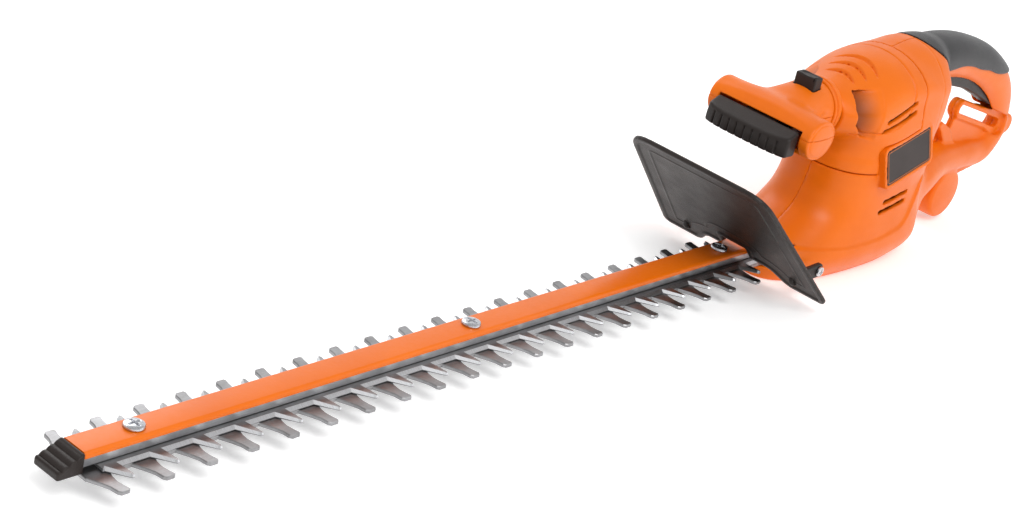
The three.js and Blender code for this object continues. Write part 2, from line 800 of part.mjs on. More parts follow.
const badgeX = 648;
const badgeZ = 61;
const badgeLength = 50;
const badgeHeight = 25;
const badgeTilt = -14;
const badgeLean = 10;
const badgeFace = bodyHalfWidth + 1.6;

/** A block lying along the badge, between two depths from the middle plane. */
function badgeBlock(grow, near, deep) {
  const halfLength = badgeLength / 2 + grow;
  const halfHeight = badgeHeight / 2 + grow;
  return block(-halfLength, halfLength, -near, -deep, -halfHeight, halfHeight)
    .translate([0, bodyHalfWidth, 0])
    .rotate([-badgeLean, 0, 0])
    .rotate([0, badgeTilt, 0])
    .translate([badgeX, -bodyHalfWidth, badgeZ]);
}

const shell = cut(join(bodyOuter, handleOuter, rearBoss(0), ...fins, badgeBlock(3, badgeFace, bodyHalfWidth - 9)),
  bodyInner, handleInner, rearBoss(wall), triggerSlot);
const wholeLower = cut(
  join(shell, slotLoop, retainerBoss, retainerWeb, hook, ...screwBosses),
  slotHole,
  capSpace(gap),
  bladeMouth,
  vents(653, 25, 30, 12),
  badgeBlock(gap, badgeFace + 1, badgeFace - 1),
  inletBore,
  triggerPin.scale([1, 1.01, 1]),
  ...screwBores,
);

/** Keeps the largest body of a solid that a cut has left in several. */
function largest(body) {
  return body.decompose().sort((a, b) => b.volume() - a.volume())[0];
}

add('lower_housing_left', largest(cut(wholeLower, block(-100, 1000, -gap / 2, far, -far, far))), 'orangePlastic');
add('lower_housing_right', largest(cut(wholeLower, block(-100, 1000, -far, gap / 2, -far, far))), 'orangePlastic');
add('badge_plate', badgeBlock(0, badgeFace, badgeFace - 1 + gap), 'blackPlastic');

const cover = bodyRings[0];
const baseCover = loft([
  levelRing({ ...cover, z: base }, wall + gap),
  levelRing({ ...cover, z: base + baseCoverThickness }, wall + gap),
]);
add('base_cover', baseCover, 'blackPlastic');

// ---- gear case and bearing plate

const caseHalf = 31;
const caseOutline = [
  [gearAxisX - 30, -caseHalf + 14],
  [gearAxisX - 14, -caseHalf],
  [motorX + 20, -caseHalf],
  [motorX + 34, -caseHalf + 12],
  [motorX + 34, caseHalf - 12],
  [motorX + 20, caseHalf],
  [gearAxisX - 14, caseHalf],
  [gearAxisX - 30, caseHalf - 14],
];
const gearCase = cut(
  join(
    plate(caseOutline, gearCaseBottom, gearCaseTop),
    post(bearingRadius + 5, motorX, 0, gearCaseTop - 0.5, bearingBottom + bearingWidth, 24),
  ),
  post(bearingRadius + runningGap, motorX, 0, bearingBottom - gap, 60, 20),
  post(shaftRadius + 0.8, motorX, 0, -20, 20, 16),
  post(gearPinRadius + gap, gearAxisX, 0, -20, 20, 16),
);
add('gear_case', gearCase, 'castAluminium');
add('bearing_plate', motorRing(fieldOuterRadius - 2, bearingRadius + runningGap, topBearingBottom, shaftTop - 1), 'blackPlastic');

// ---- soft grip over the rear handle

const gripSpace = profile([
  [668, 145],
  [682, 124],
  [700, 104],
  [712, 108],
  [746, 103],
  [766, 104],
  [800, 91],
  [816, 90],
  [832, 96],
  [806, 135],
  [700, 150],
], -60, 60);
const gripHeart = block(660, 860, -60, 60, 60, 160);
const grip = cut(
  limb(gripLine, -gripThickness).intersect(gripHeart),
  limb(gripLine, -gap),
  bodySolid(-gap),
).intersect(gripSpace);
add('grip_cover', largest(grip), 'softGrip');

// ---- power inlet

const inletFace = rearBossX + rearBossRadius - 2;
add('power_inlet', axleX(inletRadius, 0, inletZ, inletX, inletFace, 20), 'blackPlastic');
const prongSpacing = 7;
[-1, 1].forEach((sign, i) => {
  const z = inletZ + (sign * prongSpacing) / 2;
  add(`inlet_prong_${i + 1}`, block(inletFace + gap, inletFace + 14, -3, 3, z - 0.8, z + 0.8), 'brass');
});

// ---- front handle: collar, two shells, lever, button and switch

const ringFront = collarX - gap - collarWidth;
const collarRing = cut(
  loft([
    crossRing({ x: ringFront, z: neckHeight, half: collarRadius + 0.5, rise: collarRadius + 0.5, power: 1 }),
    crossRing({ x: collarX - gap, z: neckHeight, half: collarRadius + 0.5, rise: collarRadius + 0.5, power: 1 }),
  ]),
  axleX(collarRadius - 4, 0, neckHeight, ringFront - 5, collarX + 5),
);
add('collar_ring', collarRing, 'orangePlastic');

const neckRings = [
  { x: barX + 4, z: barHeight, half: 33, rise: barRadiusZ - 2 },
  { x: barX + 14, z: barHeight, half: 26, rise: barRadiusZ },
  { x: barX + 26, z: neckHeight + 2, half: 21, rise: 16 },
  { x: barX + 42, z: neckHeight + 1, half: collarRadius - 1, rise: collarRadius - 1 },
  { x: ringFront - gap, z: neckHeight, half: collarRadius - 1, rise: collarRadius - 1 },
];

/** The T-shaped front handle: a neck that widens into an oval cross bar. */
function frontHandle(inset) {
  const reach = (ring, i) => ring.x + (inset > 0 && i === neckRings.length - 1 ? 5 : 0);
  const neck = loft(neckRings.map((ring, i) => crossRing({ ...ring, x: reach(ring, i) }, inset)));
  const bar = [];
  const half = barHalfLength - inset;
  for (const [share, size] of [[-1, 0.86], [-0.93, 1], [-0.4, 1], [0.4, 1], [0.93, 1], [1, 0.86]]) {
    const ring = [];
    for (let i = 0; i < 20; i += 1) {
      const turn = (i / 20) * 2 * Math.PI;
      const x = barX + Math.cos(turn) * (barRadiusX * size - inset);
      const z = barHeight + Math.sin(turn) * (barRadiusZ * size - inset);
      ring.push(new THREE.Vector3(x, share * half, z));
    }
    bar.push(ring.reverse());
  }
  return join(neck, loft(bar));
}

const leverBack = barX - barRadiusX + 1;
const leverFront = leverBack - leverDepth;
const leverTop = barHeight + 5;
const leverBottom = leverTop - leverHeight;
const leverPivotX = leverBack + 3;
const leverPivotZ = leverTop - 4;
const leverPinRadius = 1.8;
const leverOpening = block(
  leverFront - 20, leverBack + 6, -leverHalfLength - 0.8, leverHalfLength + 0.8,
  leverBottom - 4, leverTop + 1.2,
);
const buttonHalf = buttonLength / 2;
const buttonTop = neckHeight + collarRadius + 4.5;
const buttonBottom = neckHeight + collarRadius - 8;
const buttonOpening = block(
  buttonX - buttonWidth / 2 - gap, buttonX + buttonWidth / 2 + gap,
  -buttonHalf - gap, buttonHalf + gap, buttonBottom, buttonTop + 5,
);
const springBottom = neckHeight - 10;
const springSeat = post(6, buttonX, 0, 0, springBottom - gap, 16).intersect(frontHandle(0));
const pinLugInner = 12.6;
const pinLugOuter = 15.6;
const pinLugs = [-1, 1].map((sign) => {
  const y0 = sign > 0 ? pinLugInner : -pinLugOuter;
  const y1 = y0 + pinLugOuter - pinLugInner;
  return join(
    block(leverPivotX - 2.1, leverPivotX + 8, y0, y1, leverPivotZ - 4, leverPivotZ + 4),
    block(leverPivotX + 3.5, leverPivotX + 8, y0, y1, barHeight - barRadiusZ, barHeight + barRadiusZ),
  );
});
const leverPinBore = axleY(leverPinRadius + 0.05, leverPivotX, leverPivotZ, -40, 40, 14);
const handleHollow = cut(frontHandle(0), frontHandle(wall), leverOpening, buttonOpening);
const handleShell = cut(join(handleHollow, springSeat, ...pinLugs.map((lug) => lug.intersect(frontHandle(0)))), leverPinBore);
const split = neckHeight;
add('front_handle_upper', largest(cut(handleShell, block(0, far, -far, far, -far, split + gap / 2))), 'orangePlastic');
add('front_handle_lower', largest(cut(handleShell, block(0, far, -far, far, split - gap / 2, far))), 'orangePlastic');

const leverOutline = [
  [leverBack, -leverHalfLength],
  [leverFront + 3, -leverHalfLength],
  [leverFront + 0.8, -leverHalfLength + 6],
  [leverFront, -leverHalfLength + 16],
  [leverFront, leverHalfLength - 16],
  [leverFront + 0.8, leverHalfLength - 6],
  [leverFront + 3, leverHalfLength],
  [leverBack, leverHalfLength],
];
const lever = cut(
  join(
    plate(leverOutline, leverBottom, leverTop),
    block(leverBack - 1, leverPivotX + 3, -12, 12, leverPivotZ - 3, leverPivotZ + 3),
  ),
  axleY(leverPinRadius + runningGap, leverPivotX, leverPivotZ, -40, 40, 14),
);
add('front_lever', lever, 'blackPlastic');
add('lever_pin', axleY(leverPinRadius, leverPivotX, leverPivotZ, -15, 15, 14), 'zinc');
add('front_switch', block(barX + 10, barX + 24, -6, 6, barHeight - 8, barHeight + 2), 'blackPlastic');

const button = block(
  buttonX - buttonWidth / 2, buttonX + buttonWidth / 2, -buttonHalf, buttonHalf, buttonBottom + 2, buttonTop,
);
add('lock_button', button, 'blackPlastic');

const springTop = buttonBottom + 2 - gap;
const springTurns = 5;

/** The middle line of a coil spring that stands on end. */
class SpringPath extends THREE.Curve {
  getPoint(t, target = new THREE.Vector3()) {
    const turn = t * springTurns * 2 * Math.PI;
    const wire = 0.6;
    const z = springBottom + wire + t * (springTop - springBottom - 2 * wire);
    return target.set(buttonX + 4 * Math.cos(turn), 4 * Math.sin(turn), z);
  }
}

const springSection = new THREE.Shape();
springSection.absarc(0, 0, 0.6, 0, 2 * Math.PI);
const springGeometry = new THREE.ExtrudeGeometry(springSection, {
  steps: springTurns * 8,
  curveSegments: 2,
  extrudePath: new SpringPath(),
});
add('button_spring', solid(springGeometry), 'bladeSteel');

// ---- hand guard: a leaning plate with a notch for the blades and lugs that hold it

const guardRise = guardTopZ - guardLowZ;
const guardSlope = (guardFootX - guardTopX) / guardTopZ;
const guardLength = guardRise * Math.hypot(1, guardSlope);
const guardLean = THREE.MathUtils.radToDeg(Math.atan(guardSlope));

/** Replaces a sharp corner by three points of an arc. */
function rounded(before, corner, after, radius) {
  const start = corner.clone().lerp(before, radius / corner.distanceTo(before));
  const end = corner.clone().lerp(after, radius / corner.distanceTo(after));
  const curve = new THREE.QuadraticBezierCurve(start, corner, end);
  return curve.getPoints(5);
}

const guardHalf = [
  new THREE.Vector2(0, guardLength),
  new THREE.Vector2(guardTopHalfWidth, guardLength),
  new THREE.Vector2(guardLowHalfWidth, 0),
  new THREE.Vector2(guardNotchHalfWidth + 10, 0),
  new THREE.Vector2(guardNotchHalfWidth, guardNotchRise),
  new THREE.Vector2(0, guardNotchRise),
];
const guardRight = [
  ...rounded(guardHalf[0], guardHalf[1], guardHalf[2], guardCorner),
  ...rounded(guardHalf[1], guardHalf[2], guardHalf[3], 6),
  ...rounded(guardHalf[2], guardHalf[3], guardHalf[4], 4),
  ...rounded(guardHalf[3], guardHalf[4], guardHalf[5], 4),
];
const guardPoints = [
  ...guardRight,
  ...guardRight.map((point) => new THREE.Vector2(-point.x, point.y)).reverse(),
];
const guardGeometry = new THREE.ExtrudeGeometry(new THREE.Shape(guardPoints), {
  depth: guardThickness,
  bevelEnabled: false,
});
// The outline is drawn with its width along y and its length up the leaning plate.
const up = new THREE.Vector3(-guardSlope, 0, 1).normalize();
const across = new THREE.Vector3(0, 1, 0);
const facing = new THREE.Vector3().crossVectors(across, up);
guardGeometry.applyMatrix4(new THREE.Matrix4().makeBasis(across, up, facing));
guardGeometry.translate(guardFootX - guardSlope * guardLowZ, 0, guardLowZ);
const stripPassage = block(
  stripEnd - 60, stripEnd + 60, -stripHalfWidth - 1, stripHalfWidth + 1, -40, 1.5,
);
const lugs = [-1, 1].map((sign) => {
  const inner = sign > 0 ? skirtHalfWidth + gap : -skirtHalfWidth - gap - 3.5;
  return block(534, skirtFront + 20, inner, inner + 3.5, -10, 0);
});
const guard = cut(join(solid(guardGeometry), ...lugs), stripPassage);
add('guard', guard, 'blackPlastic');
[-1, 1].forEach((sign, i) => {
  const face = skirtHalfWidth + gap + 3.5 + gap;
  const head = axleY(3.5, skirtFront + 15, -5, sign > 0 ? face : -face - 1.8, sign > 0 ? face + 1.8 : -face, 16);
  add(`guard_screw_${i + 1}`, head, 'zinc');
});

trimmer.position.set(-gearAxisX, 0, baseDepth);
export default trimmer;
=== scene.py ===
# %% [markdown]
# # An electric hedge trimmer
#
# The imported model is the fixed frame: it says where every piece is and how it moves. This lesson gives
# each piece that shows its finished skin and its finish. The moulded shells are the hard part. A real
# moulding has no sharp joins: barrel, handle and skirt flow into each other through fillets. Meshes
# that are joined by a boolean keep a hard line there, so the mouldings are made as distance fields
# instead. A field is a function that is negative inside the solid; two fields joined by a smooth
# minimum have a fillet for nothing, and a groove is one more term. A grid of samples then becomes a skin.

# %% The frame
import math

import bmesh
import bpy
import numpy as np
from mathutils import Matrix, Vector
from mathutils.geometry import tessellate_polygon


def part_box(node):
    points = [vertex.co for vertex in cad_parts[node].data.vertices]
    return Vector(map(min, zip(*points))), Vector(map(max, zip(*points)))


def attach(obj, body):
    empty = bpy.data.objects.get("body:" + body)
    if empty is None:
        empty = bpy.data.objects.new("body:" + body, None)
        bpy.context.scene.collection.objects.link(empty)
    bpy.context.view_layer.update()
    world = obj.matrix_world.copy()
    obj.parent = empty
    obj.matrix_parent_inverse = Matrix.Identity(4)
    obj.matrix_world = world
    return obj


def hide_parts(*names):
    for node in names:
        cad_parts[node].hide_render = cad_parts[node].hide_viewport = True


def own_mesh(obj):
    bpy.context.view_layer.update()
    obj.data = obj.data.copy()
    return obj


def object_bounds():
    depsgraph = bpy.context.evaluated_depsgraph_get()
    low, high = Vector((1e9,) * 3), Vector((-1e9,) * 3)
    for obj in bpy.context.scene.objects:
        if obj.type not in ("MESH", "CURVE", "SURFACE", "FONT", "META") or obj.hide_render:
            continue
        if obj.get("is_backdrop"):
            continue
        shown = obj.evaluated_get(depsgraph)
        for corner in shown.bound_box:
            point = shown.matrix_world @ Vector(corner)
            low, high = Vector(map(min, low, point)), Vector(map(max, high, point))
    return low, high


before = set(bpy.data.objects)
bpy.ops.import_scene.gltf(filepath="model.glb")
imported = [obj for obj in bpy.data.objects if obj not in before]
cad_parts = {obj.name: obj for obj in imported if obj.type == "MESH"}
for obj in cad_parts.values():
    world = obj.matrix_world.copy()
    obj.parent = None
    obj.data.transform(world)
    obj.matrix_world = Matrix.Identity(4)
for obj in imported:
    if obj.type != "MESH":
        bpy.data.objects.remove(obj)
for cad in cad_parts.values():
    cad.data.update()
bpy.context.view_layer.update()
cad_low, cad_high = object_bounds()
print("nodes", len(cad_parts), "box", [round(v, 4) for v in (*cad_low, *cad_high)])

# %% [markdown]
# The shapes are worked out in millimetres, in the maker's own frame: x runs from the first tooth to the
# rear handle, y is 0 on the middle plane and z is 0 on top of the blade cover strip. The strip's box in
# the frame says where that origin is, so one vector carries everything back into metres.

# %% The maker's frame
MM = 0.001
STRIP_START = -2.5
strip_low, strip_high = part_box("cover_strip")
ORIGIN = np.array([strip_low.x / MM - STRIP_START, 0.0, strip_high.z / MM])


def box_mm(node):
    """Lowest and highest corner of a CAD node, in millimetres in the maker's frame."""
    low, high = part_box(node)
    return np.array(low) / MM - ORIGIN, np.array(high) / MM - ORIGIN


print("origin of the maker's frame, mm", ORIGIN.round(2))

# %% [markdown]
# ## Fields
#
# Every helper takes whole arrays that numpy can broadcast: x, y and z may be a grid's three axes or
# three long lists of points. Lengths are millimetres, so a field of 2.6 means 2.6 mm outside.

# %% Helpers for fields


def smooth_min(a, b, k):
    """The lesser of two fields, with a fillet of about k where they meet: b + (a - b) h - k h (1 - h)."""
    h = np.clip(0.5 + 0.5 * (b - a) / k, 0, 1)
    return b + (a - b) * h - k * h * (1 - h)


def smooth_max(a, b, k):
    """The greater of two fields, with a rounded edge of about k."""
    return -smooth_min(-a, -b, k)


def step_up(value, width):
    """0 below -width, 1 above width, smooth between: 3 t t - 2 t t t."""
    t = np.clip(0.5 + 0.5 * value / width, 0, 1)
    return t * t * (3 - 2 * t)


def curve(value, knots, levels):
    """A smooth curve through (knot, level) points: cubic pieces whose slopes come from the neighbours."""
    knots, levels = np.asarray(knots, float), np.asarray(levels, float)
    slopes = np.gradient(levels, knots)
    i = np.clip(np.searchsorted(knots, value) - 1, 0, len(knots) - 2)
    width = knots[i + 1] - knots[i]
    t = np.clip((value - knots[i]) / width, 0, 1)
    start = (1 + 2 * t) * (1 - t) ** 2 * levels[i] + t * (1 - t) ** 2 * width * slopes[i]
    end = t * t * (3 - 2 * t) * levels[i + 1] + t * t * (t - 1) * width * slopes[i + 1]
    return start + end


def oval(a, b, reach_a, reach_b, power=2.0):
    """Distance, nearly, to a squared oval: (r - 1) over the slope of r,
    with r = (|a/A|^p + |b/B|^p)^(1/p)."""
    u, v = np.abs(a) / reach_a, np.abs(b) / reach_b
    r = (u ** power + v ** power + 1e-12) ** (1 / power)
    slope = np.sqrt((u / reach_a) ** 2 + (v / reach_b) ** 2) / np.maximum(r, 1e-3) + 1e-3
    return (r - 1) / slope


def slab(value, low, high):
    """Distance to the layer between two levels."""
    return np.maximum(low - value, value - high)


def rounded_box(a, b, half_a, half_b, radius):
    """Distance to a rectangle with round corners."""
    u, v = np.abs(a) - half_a + radius, np.abs(b) - half_b + radius
    outside = np.hypot(np.maximum(u, 0), np.maximum(v, 0))
    return outside + np.minimum(np.maximum(u, v), 0) - radius


def segment(a, b, start, end):
    """Distance to a straight stretch from start to end, and how far along it the nearest point is,
    from 0 to 1."""
    along = np.array(end, float) - start
    t = ((a - start[0]) * along[0] + (b - start[1]) * along[1]) / (along @ along)
    t = np.clip(t, 0, 1)
    return np.hypot(a - start[0] - t * along[0], b - start[1] - t * along[1]), t


def stroke(a, b, points):
    """Distance to a chain of straight stretches."""
    return np.minimum.reduce([segment(a, b, p, q)[0] for p, q in zip(points, points[1:])])


def outline(a, b, points):
    """Signed distance to a closed outline: the nearest side, negative where the point has an odd number of
    sides on its right."""
    inside = np.zeros(np.broadcast(a, b).shape, bool)
    for (a0, b0), (a1, b1) in zip(points, points[1:] + points[:1]):
        crossing = (b0 > b) != (b1 > b)
        rise = (b1 - b0) if b1 != b0 else 1e-9
        inside ^= crossing & (a < a0 + (b - b0) * (a1 - a0) / rise)
    return np.where(inside, -1, 1) * stroke(a, b, points + points[:1])


# %% [markdown]
# ## From a field to a skin
#
# Surface nets: each cell of the grid that the skin passes through gets one vertex, at the mean of the
# places where the skin crosses the cell's edges, and each crossed edge gets one quad round it. The
# vertices are then slid along the field's slope until the field there is zero, which takes away the
# stairs of the grid. It is all done with whole arrays.

# %% The net


def net(field, low, high, step, slides=2):
    """Vertices and quads of the skin where the field is zero, inside a box, on a grid of the given step."""
    axes = [np.arange(a - step, b + 2 * step, step) for a, b in zip(low, high)]
    x, y, z = axes[0][:, None, None], axes[1][None, :, None], axes[2][None, None, :]
    size = tuple(len(a) for a in axes)
    values = np.broadcast_to(field(x, y, z), size).astype(np.float32)
    inside = values < 0
    cells = tuple(n - 1 for n in size)
    total, quads = np.zeros((3, math.prod(cells))), []
    hits = np.zeros(total.shape[1])
    for axis in range(3):
        others = [k for k in range(3) if k != axis]
        lower = [slice(None)] * 3
        upper = [slice(None)] * 3
        lower[axis], upper[axis] = slice(None, -1), slice(1, None)
        index = np.array(np.nonzero(inside[tuple(lower)] != inside[tuple(upper)]))
        keep = np.all([(index[k] > 0) & (index[k] < size[k] - 1) for k in others], axis=0)
        index = index[:, keep]
        after = index.copy()
        after[axis] += 1
        first, second = values[tuple(index)], values[tuple(after)]
        share = first / (first - second)
        place = index.astype(float)
        place[axis] += share
        around = []
        for shift_a, shift_b in ((0, 0), (-1, 0), (-1, -1), (0, -1)):
            cell = index.copy()
            cell[others[0]] += shift_a
            cell[others[1]] += shift_b
            flat = np.ravel_multi_index(tuple(cell), cells)
            around.append(flat)
            hits += np.bincount(flat, minlength=len(hits))
            for k in range(3):
                total[k] += np.bincount(flat, weights=place[k], minlength=len(hits))
        quad = np.stack(around, axis=1)
        turned = (first < 0) == (axis != 1)
        quad[~turned] = quad[~turned][:, ::-1]
        quads.append(quad)
    used = np.nonzero(hits)[0]
    vertex_of = np.full(len(hits), -1)
    vertex_of[used] = np.arange(len(used))
    points = (total[:, used] / hits[used]).T * step + [a[0] for a in axes]
    return slide(field, points, step, slides), vertex_of[np.concatenate(quads)]


def slide(field, points, step, times):
    """Points moved down the field's slope to where it is zero, by at most 0.6 of a step each time."""
    reach = 0.1 * step
    for _ in range(times):
        value = field(*points.T)
        slope = np.stack([(field(*(points + reach * unit).T) - value) / reach for unit in np.eye(3)], axis=1)
        move = -value[:, None] * slope / np.maximum((slope ** 2).sum(1), 0.2)[:, None]
        length = np.linalg.norm(move, axis=1, keepdims=True)
        points = points + move * np.minimum(1, 0.6 * step / np.maximum(length, 1e-9))
    return points


def piece(name, points, faces, crease=35.0):
    """A mesh object from points in millimetres in the maker's frame, shaded smooth below the crease angle."""
    mesh = bpy.data.meshes.new(name)
    faces = faces.tolist() if isinstance(faces, np.ndarray) else faces
    mesh.from_pydata(((np.asarray(points) + ORIGIN) * MM).tolist(), [], faces)
    mesh.validate()
    mesh.shade_smooth()
    mesh.set_sharp_from_angle(angle=math.radians(crease))
    shown = bpy.data.objects.new(name, mesh)
    bpy.context.scene.collection.objects.link(shown)
    print(f"{name}: {len(mesh.vertices)} points, {len(mesh.polygons)} faces")
    return shown


def finish_piece(shown, body, material, slot, *nodes):
    """Gives a piece its body and material, and hides the CAD nodes that it stands for; the slot is not used.
    """
    shown.data.materials.clear()
    shown.data.materials.append(material)
    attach(shown, body)
    if nodes:
        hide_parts(*nodes)
    print(f"{shown.name}: {len(shown.data.polygons)} faces")
    return shown

# %% [markdown]
# ## The housing as one field
#
# The motor housing is a tower whose level sections are squared ovals, wide and long at the skirt, with a
# round barrel lying across its top. The rear handle is a tube of oval section along a closed path. Every
# section's size is a smooth curve through a few stations, and the three are joined with wide fillets.

# %% Tower, barrel and handle
WALL = 2.6
GAP = 0.3
BASE = box_mm("base_cover")[0][2]
BARREL_HEIGHT = 90.0
CREASE = 50.0
WIDEST = 645.0
TOWER_Z = [BASE - 4, BASE + 4, BASE + 12, BASE + 20, 0, 9, 18, 30, CREASE, 80, 106]
TOWER_FRONT = [553, 550, 548, 550, 557, 571, 583, 590, 594, 599, 616]
TOWER_REAR = [700, 712, 719, 722, 723, 723, 722, 721, 718, 706, 692]
TOWER_HALF = [27, 33, 39, 42, 42, 40.5, 38.5, 37, 38, 36.5, 24]
BARREL_X = [578, 585, 596, 610, 626, WIDEST, 673, 702]
BARREL_HALF = [19, 25.5, 32, 36, 38.5, 40, 39, 31]
BARREL_RISE = [17, 17.8, 20, 25, 29.5, 32, 32.5, 31]
SIDE_FLAT = 36.2
HANDLE_PATH = np.array([
    [672, 102.5, 17.5, 20],
    [694, 106.3, 17.5, 18],
    [722, 108.5, 16, 16],
    [756, 104, 15, 15],
    [792, 91.5, 15, 15],
    [822, 71, 15, 14],
    [838, 47, 14, 11],
    [843, 34, 12, 9.5],
    [833, 24, 11.5, 10.5],
    [800, 23, 11.5, 13],
    [762, 24, 13, 17],
    [724, 20, 17, 26],
    [700, 14, 20, 30],
])


def even_path(path, count):
    """Stations along a smooth curve through the path's points, spread evenly by length."""
    span = np.concatenate([[0], np.cumsum(np.hypot(*np.diff(path[:, :2], axis=0).T))])
    at = np.linspace(0, span[-1], count)
    return np.stack([curve(at, span, path[:, k]) for k in range(path.shape[1])], axis=1)


HANDLE_STATIONS, CHUNK = 130, 30000
HANDLE = even_path(HANDLE_PATH, HANDLE_STATIONS)
HANDLE_SPACING = np.hypot(*np.diff(HANDLE[:, :2], axis=0).T).mean()
HANDLE_SLOPE = np.gradient(HANDLE, HANDLE_SPACING, axis=0)


def tower(x, y, z):
    """Squared ovals, stacked: front, rear and half-width follow the height."""
    front, rear = curve(z, TOWER_Z, TOWER_FRONT), curve(z, TOWER_Z, TOWER_REAR)
    reach = np.where(x > WIDEST, rear - WIDEST, WIDEST - front)
    return oval(x - WIDEST, y, reach, curve(z, TOWER_Z, TOWER_HALF), 2.5)


def barrel(x, y, z):
    """Ovals across x, from the collar to the round rear end."""
    half, rise = curve(x, BARREL_X, BARREL_HALF), curve(x, BARREL_X, BARREL_RISE)
    power = 1.62 + 0.38 * step_up(x - 616, 26)
    power = power + (2.2 - power) * step_up(BARREL_HEIGHT - z, 7)
    tube = smooth_max(oval(y, z - BARREL_HEIGHT - 1, half, rise, power), np.abs(y) - SIDE_FLAT, 3)
    return smooth_max(tube, x - 697, 9)


def near_handle(x, z):
    """Distance in the middle plane to the handle's path, with its half height and half width there."""
    flat_x, flat_z = np.broadcast_arrays(x, z)
    shape = flat_x.shape
    flat_x, flat_z = flat_x.ravel(), flat_z.ravel()
    station = np.empty(flat_x.size, int)
    for first in range(0, flat_x.size, CHUNK):
        part = slice(first, first + CHUNK)
        away = np.hypot(flat_x[part, None] - HANDLE[:, 0], flat_z[part, None] - HANDLE[:, 1])
        station[part] = away.argmin(1)
    place, slope = HANDLE[station], HANDLE_SLOPE[station]
    past = (flat_x - place[:, 0]) * slope[:, 0] + (flat_z - place[:, 1]) * slope[:, 1]
    place = place + slope * np.clip(past, -0.6 * HANDLE_SPACING, 0.6 * HANDLE_SPACING)[:, None]
    distance = np.hypot(flat_x - place[:, 0], flat_z - place[:, 1])
    return distance.reshape(shape), place[:, 2].reshape(shape), place[:, 3].reshape(shape)


def handle(x, y, z):
    """A tube of oval section along the handle's path."""
    distance, rise, half = near_handle(x, z)
    return oval(distance, y, rise, half, 2.15)


BOSS_X, BOSS_Z, BOSS_RADIUS, BOSS_HALF = 777.0, -2.0, 19.0, 14.0


def rear_boss(x, y, z):
    """The round end of the power inlet's housing, with its faces a little domed."""
    radius = np.hypot(x - BOSS_X, z - BOSS_Z)
    return smooth_max(radius - BOSS_RADIUS, np.abs(y) - BOSS_HALF + 0.004 * radius ** 2, 3)


def body(x, y, z):
    """Tower, barrel, handle and boss, joined with wide fillets."""
    low_part = smooth_max(tower(x, y, z), z - BARREL_HEIGHT - 6, 14)
    trunk = smooth_min(low_part, barrel(x, y, z), 10)
    reach = 5 + 6 * step_up(z - 80, 20)
    return smooth_min(smooth_min(trunk, handle(x, y, z), reach), rear_boss(x, y, z), 3)


# %% [markdown]
# The relief on a moulding (a panel line, a raised band, a sunk grip) is the same field moved in or out
# by a little under a mask. Each mask is a shape seen from the side, with a soft edge as wide as the
# mould's draft.

# %% The cap's and the skirt's relief
CAP_LOW, CAP_HIGH = box_mm("motor_cap")
COLLAR_FRONT, CAP_REAR = CAP_LOW[0], CAP_HIGH[0]
CAP_BACK = [
    (CAP_REAR - 26, CREASE),
    (CAP_REAR - 15, CREASE + 4),
    (CAP_REAR - 6, CREASE + 14),
    (CAP_REAR + 1, CREASE + 30),
    (CAP_REAR, CREASE + 60),
    (CAP_REAR - 3, CREASE + 130),
]
CAP_OUTLINE = [(CAP_REAR - 200, CREASE), *CAP_BACK, (CAP_REAR - 200, CREASE + 130)]


BADGE_X, BADGE_Z, BADGE_TILT, BADGE_LEAN = 648.0, 61.0, math.radians(14), math.radians(10)
BADGE_HALF, BADGE_RISE = 25.0, 12.5
SIDE = 39.0


def on_badge(x, y, z):
    """Places along, across and out of the badge, which leans out at its foot and rises to the rear."""
    a, b, c = x - BADGE_X, z - BADGE_Z, -(y + SIDE)
    along = a * math.cos(BADGE_TILT) + b * math.sin(BADGE_TILT)
    up = -a * math.sin(BADGE_TILT) + b * math.cos(BADGE_TILT)
    across = up * math.cos(BADGE_LEAN) - c * math.sin(BADGE_LEAN)
    return along, across, up * math.sin(BADGE_LEAN) + c * math.cos(BADGE_LEAN)


def cap_space(x, y, z):
    """Signed distance to the space that the motor cap fills, less the badge's raised frame."""
    along, across, _ = on_badge(x, y, z)
    badge_room = np.maximum(rounded_box(along, across, BADGE_HALF + 3.1, BADGE_RISE + 3.1, 5), y + 25)
    return np.maximum(outline(x, z, CAP_OUTLINE), -badge_room)


POCKET = [(592, 105), (612, 108), (608, 96), (607, 83), (607, 76), (599, 77.5), (589, 87), (588.5, 97)]
CAP_GROOVE = [
    (646, 135), (643, 118), (641, 104), (639.5, 95), (635, 88), (627, 84), (615, 81.5),
    (602, 79.5), (590, 79),
]
VENT_RADIUS, VENT_INNER = 1.5, 16
UPPER_VENTS = [((615, 88.5), (644, 98.5)), ((613, 82), (645, 92))]
LOWER_VENTS = [((640, 26.5), (668, 30)), ((636, 20), (667, 23.5))]
SWOOSH = [(600, 11.5), (610, 15), (620.5, 17.5)]


def band_line(x):
    """Height of the step line round the foot of the skirt."""
    return curve(x, [540, 575, 610, 650, 670, 684, 694], [0, 1, 1, 4, 9, 22, 36])


def grip_start(z):
    """Where the soft grip begins: further forward the higher up."""
    return np.interp(z, [100, 108, 117, 126, 150], [708, 703, 697, 684, 668])


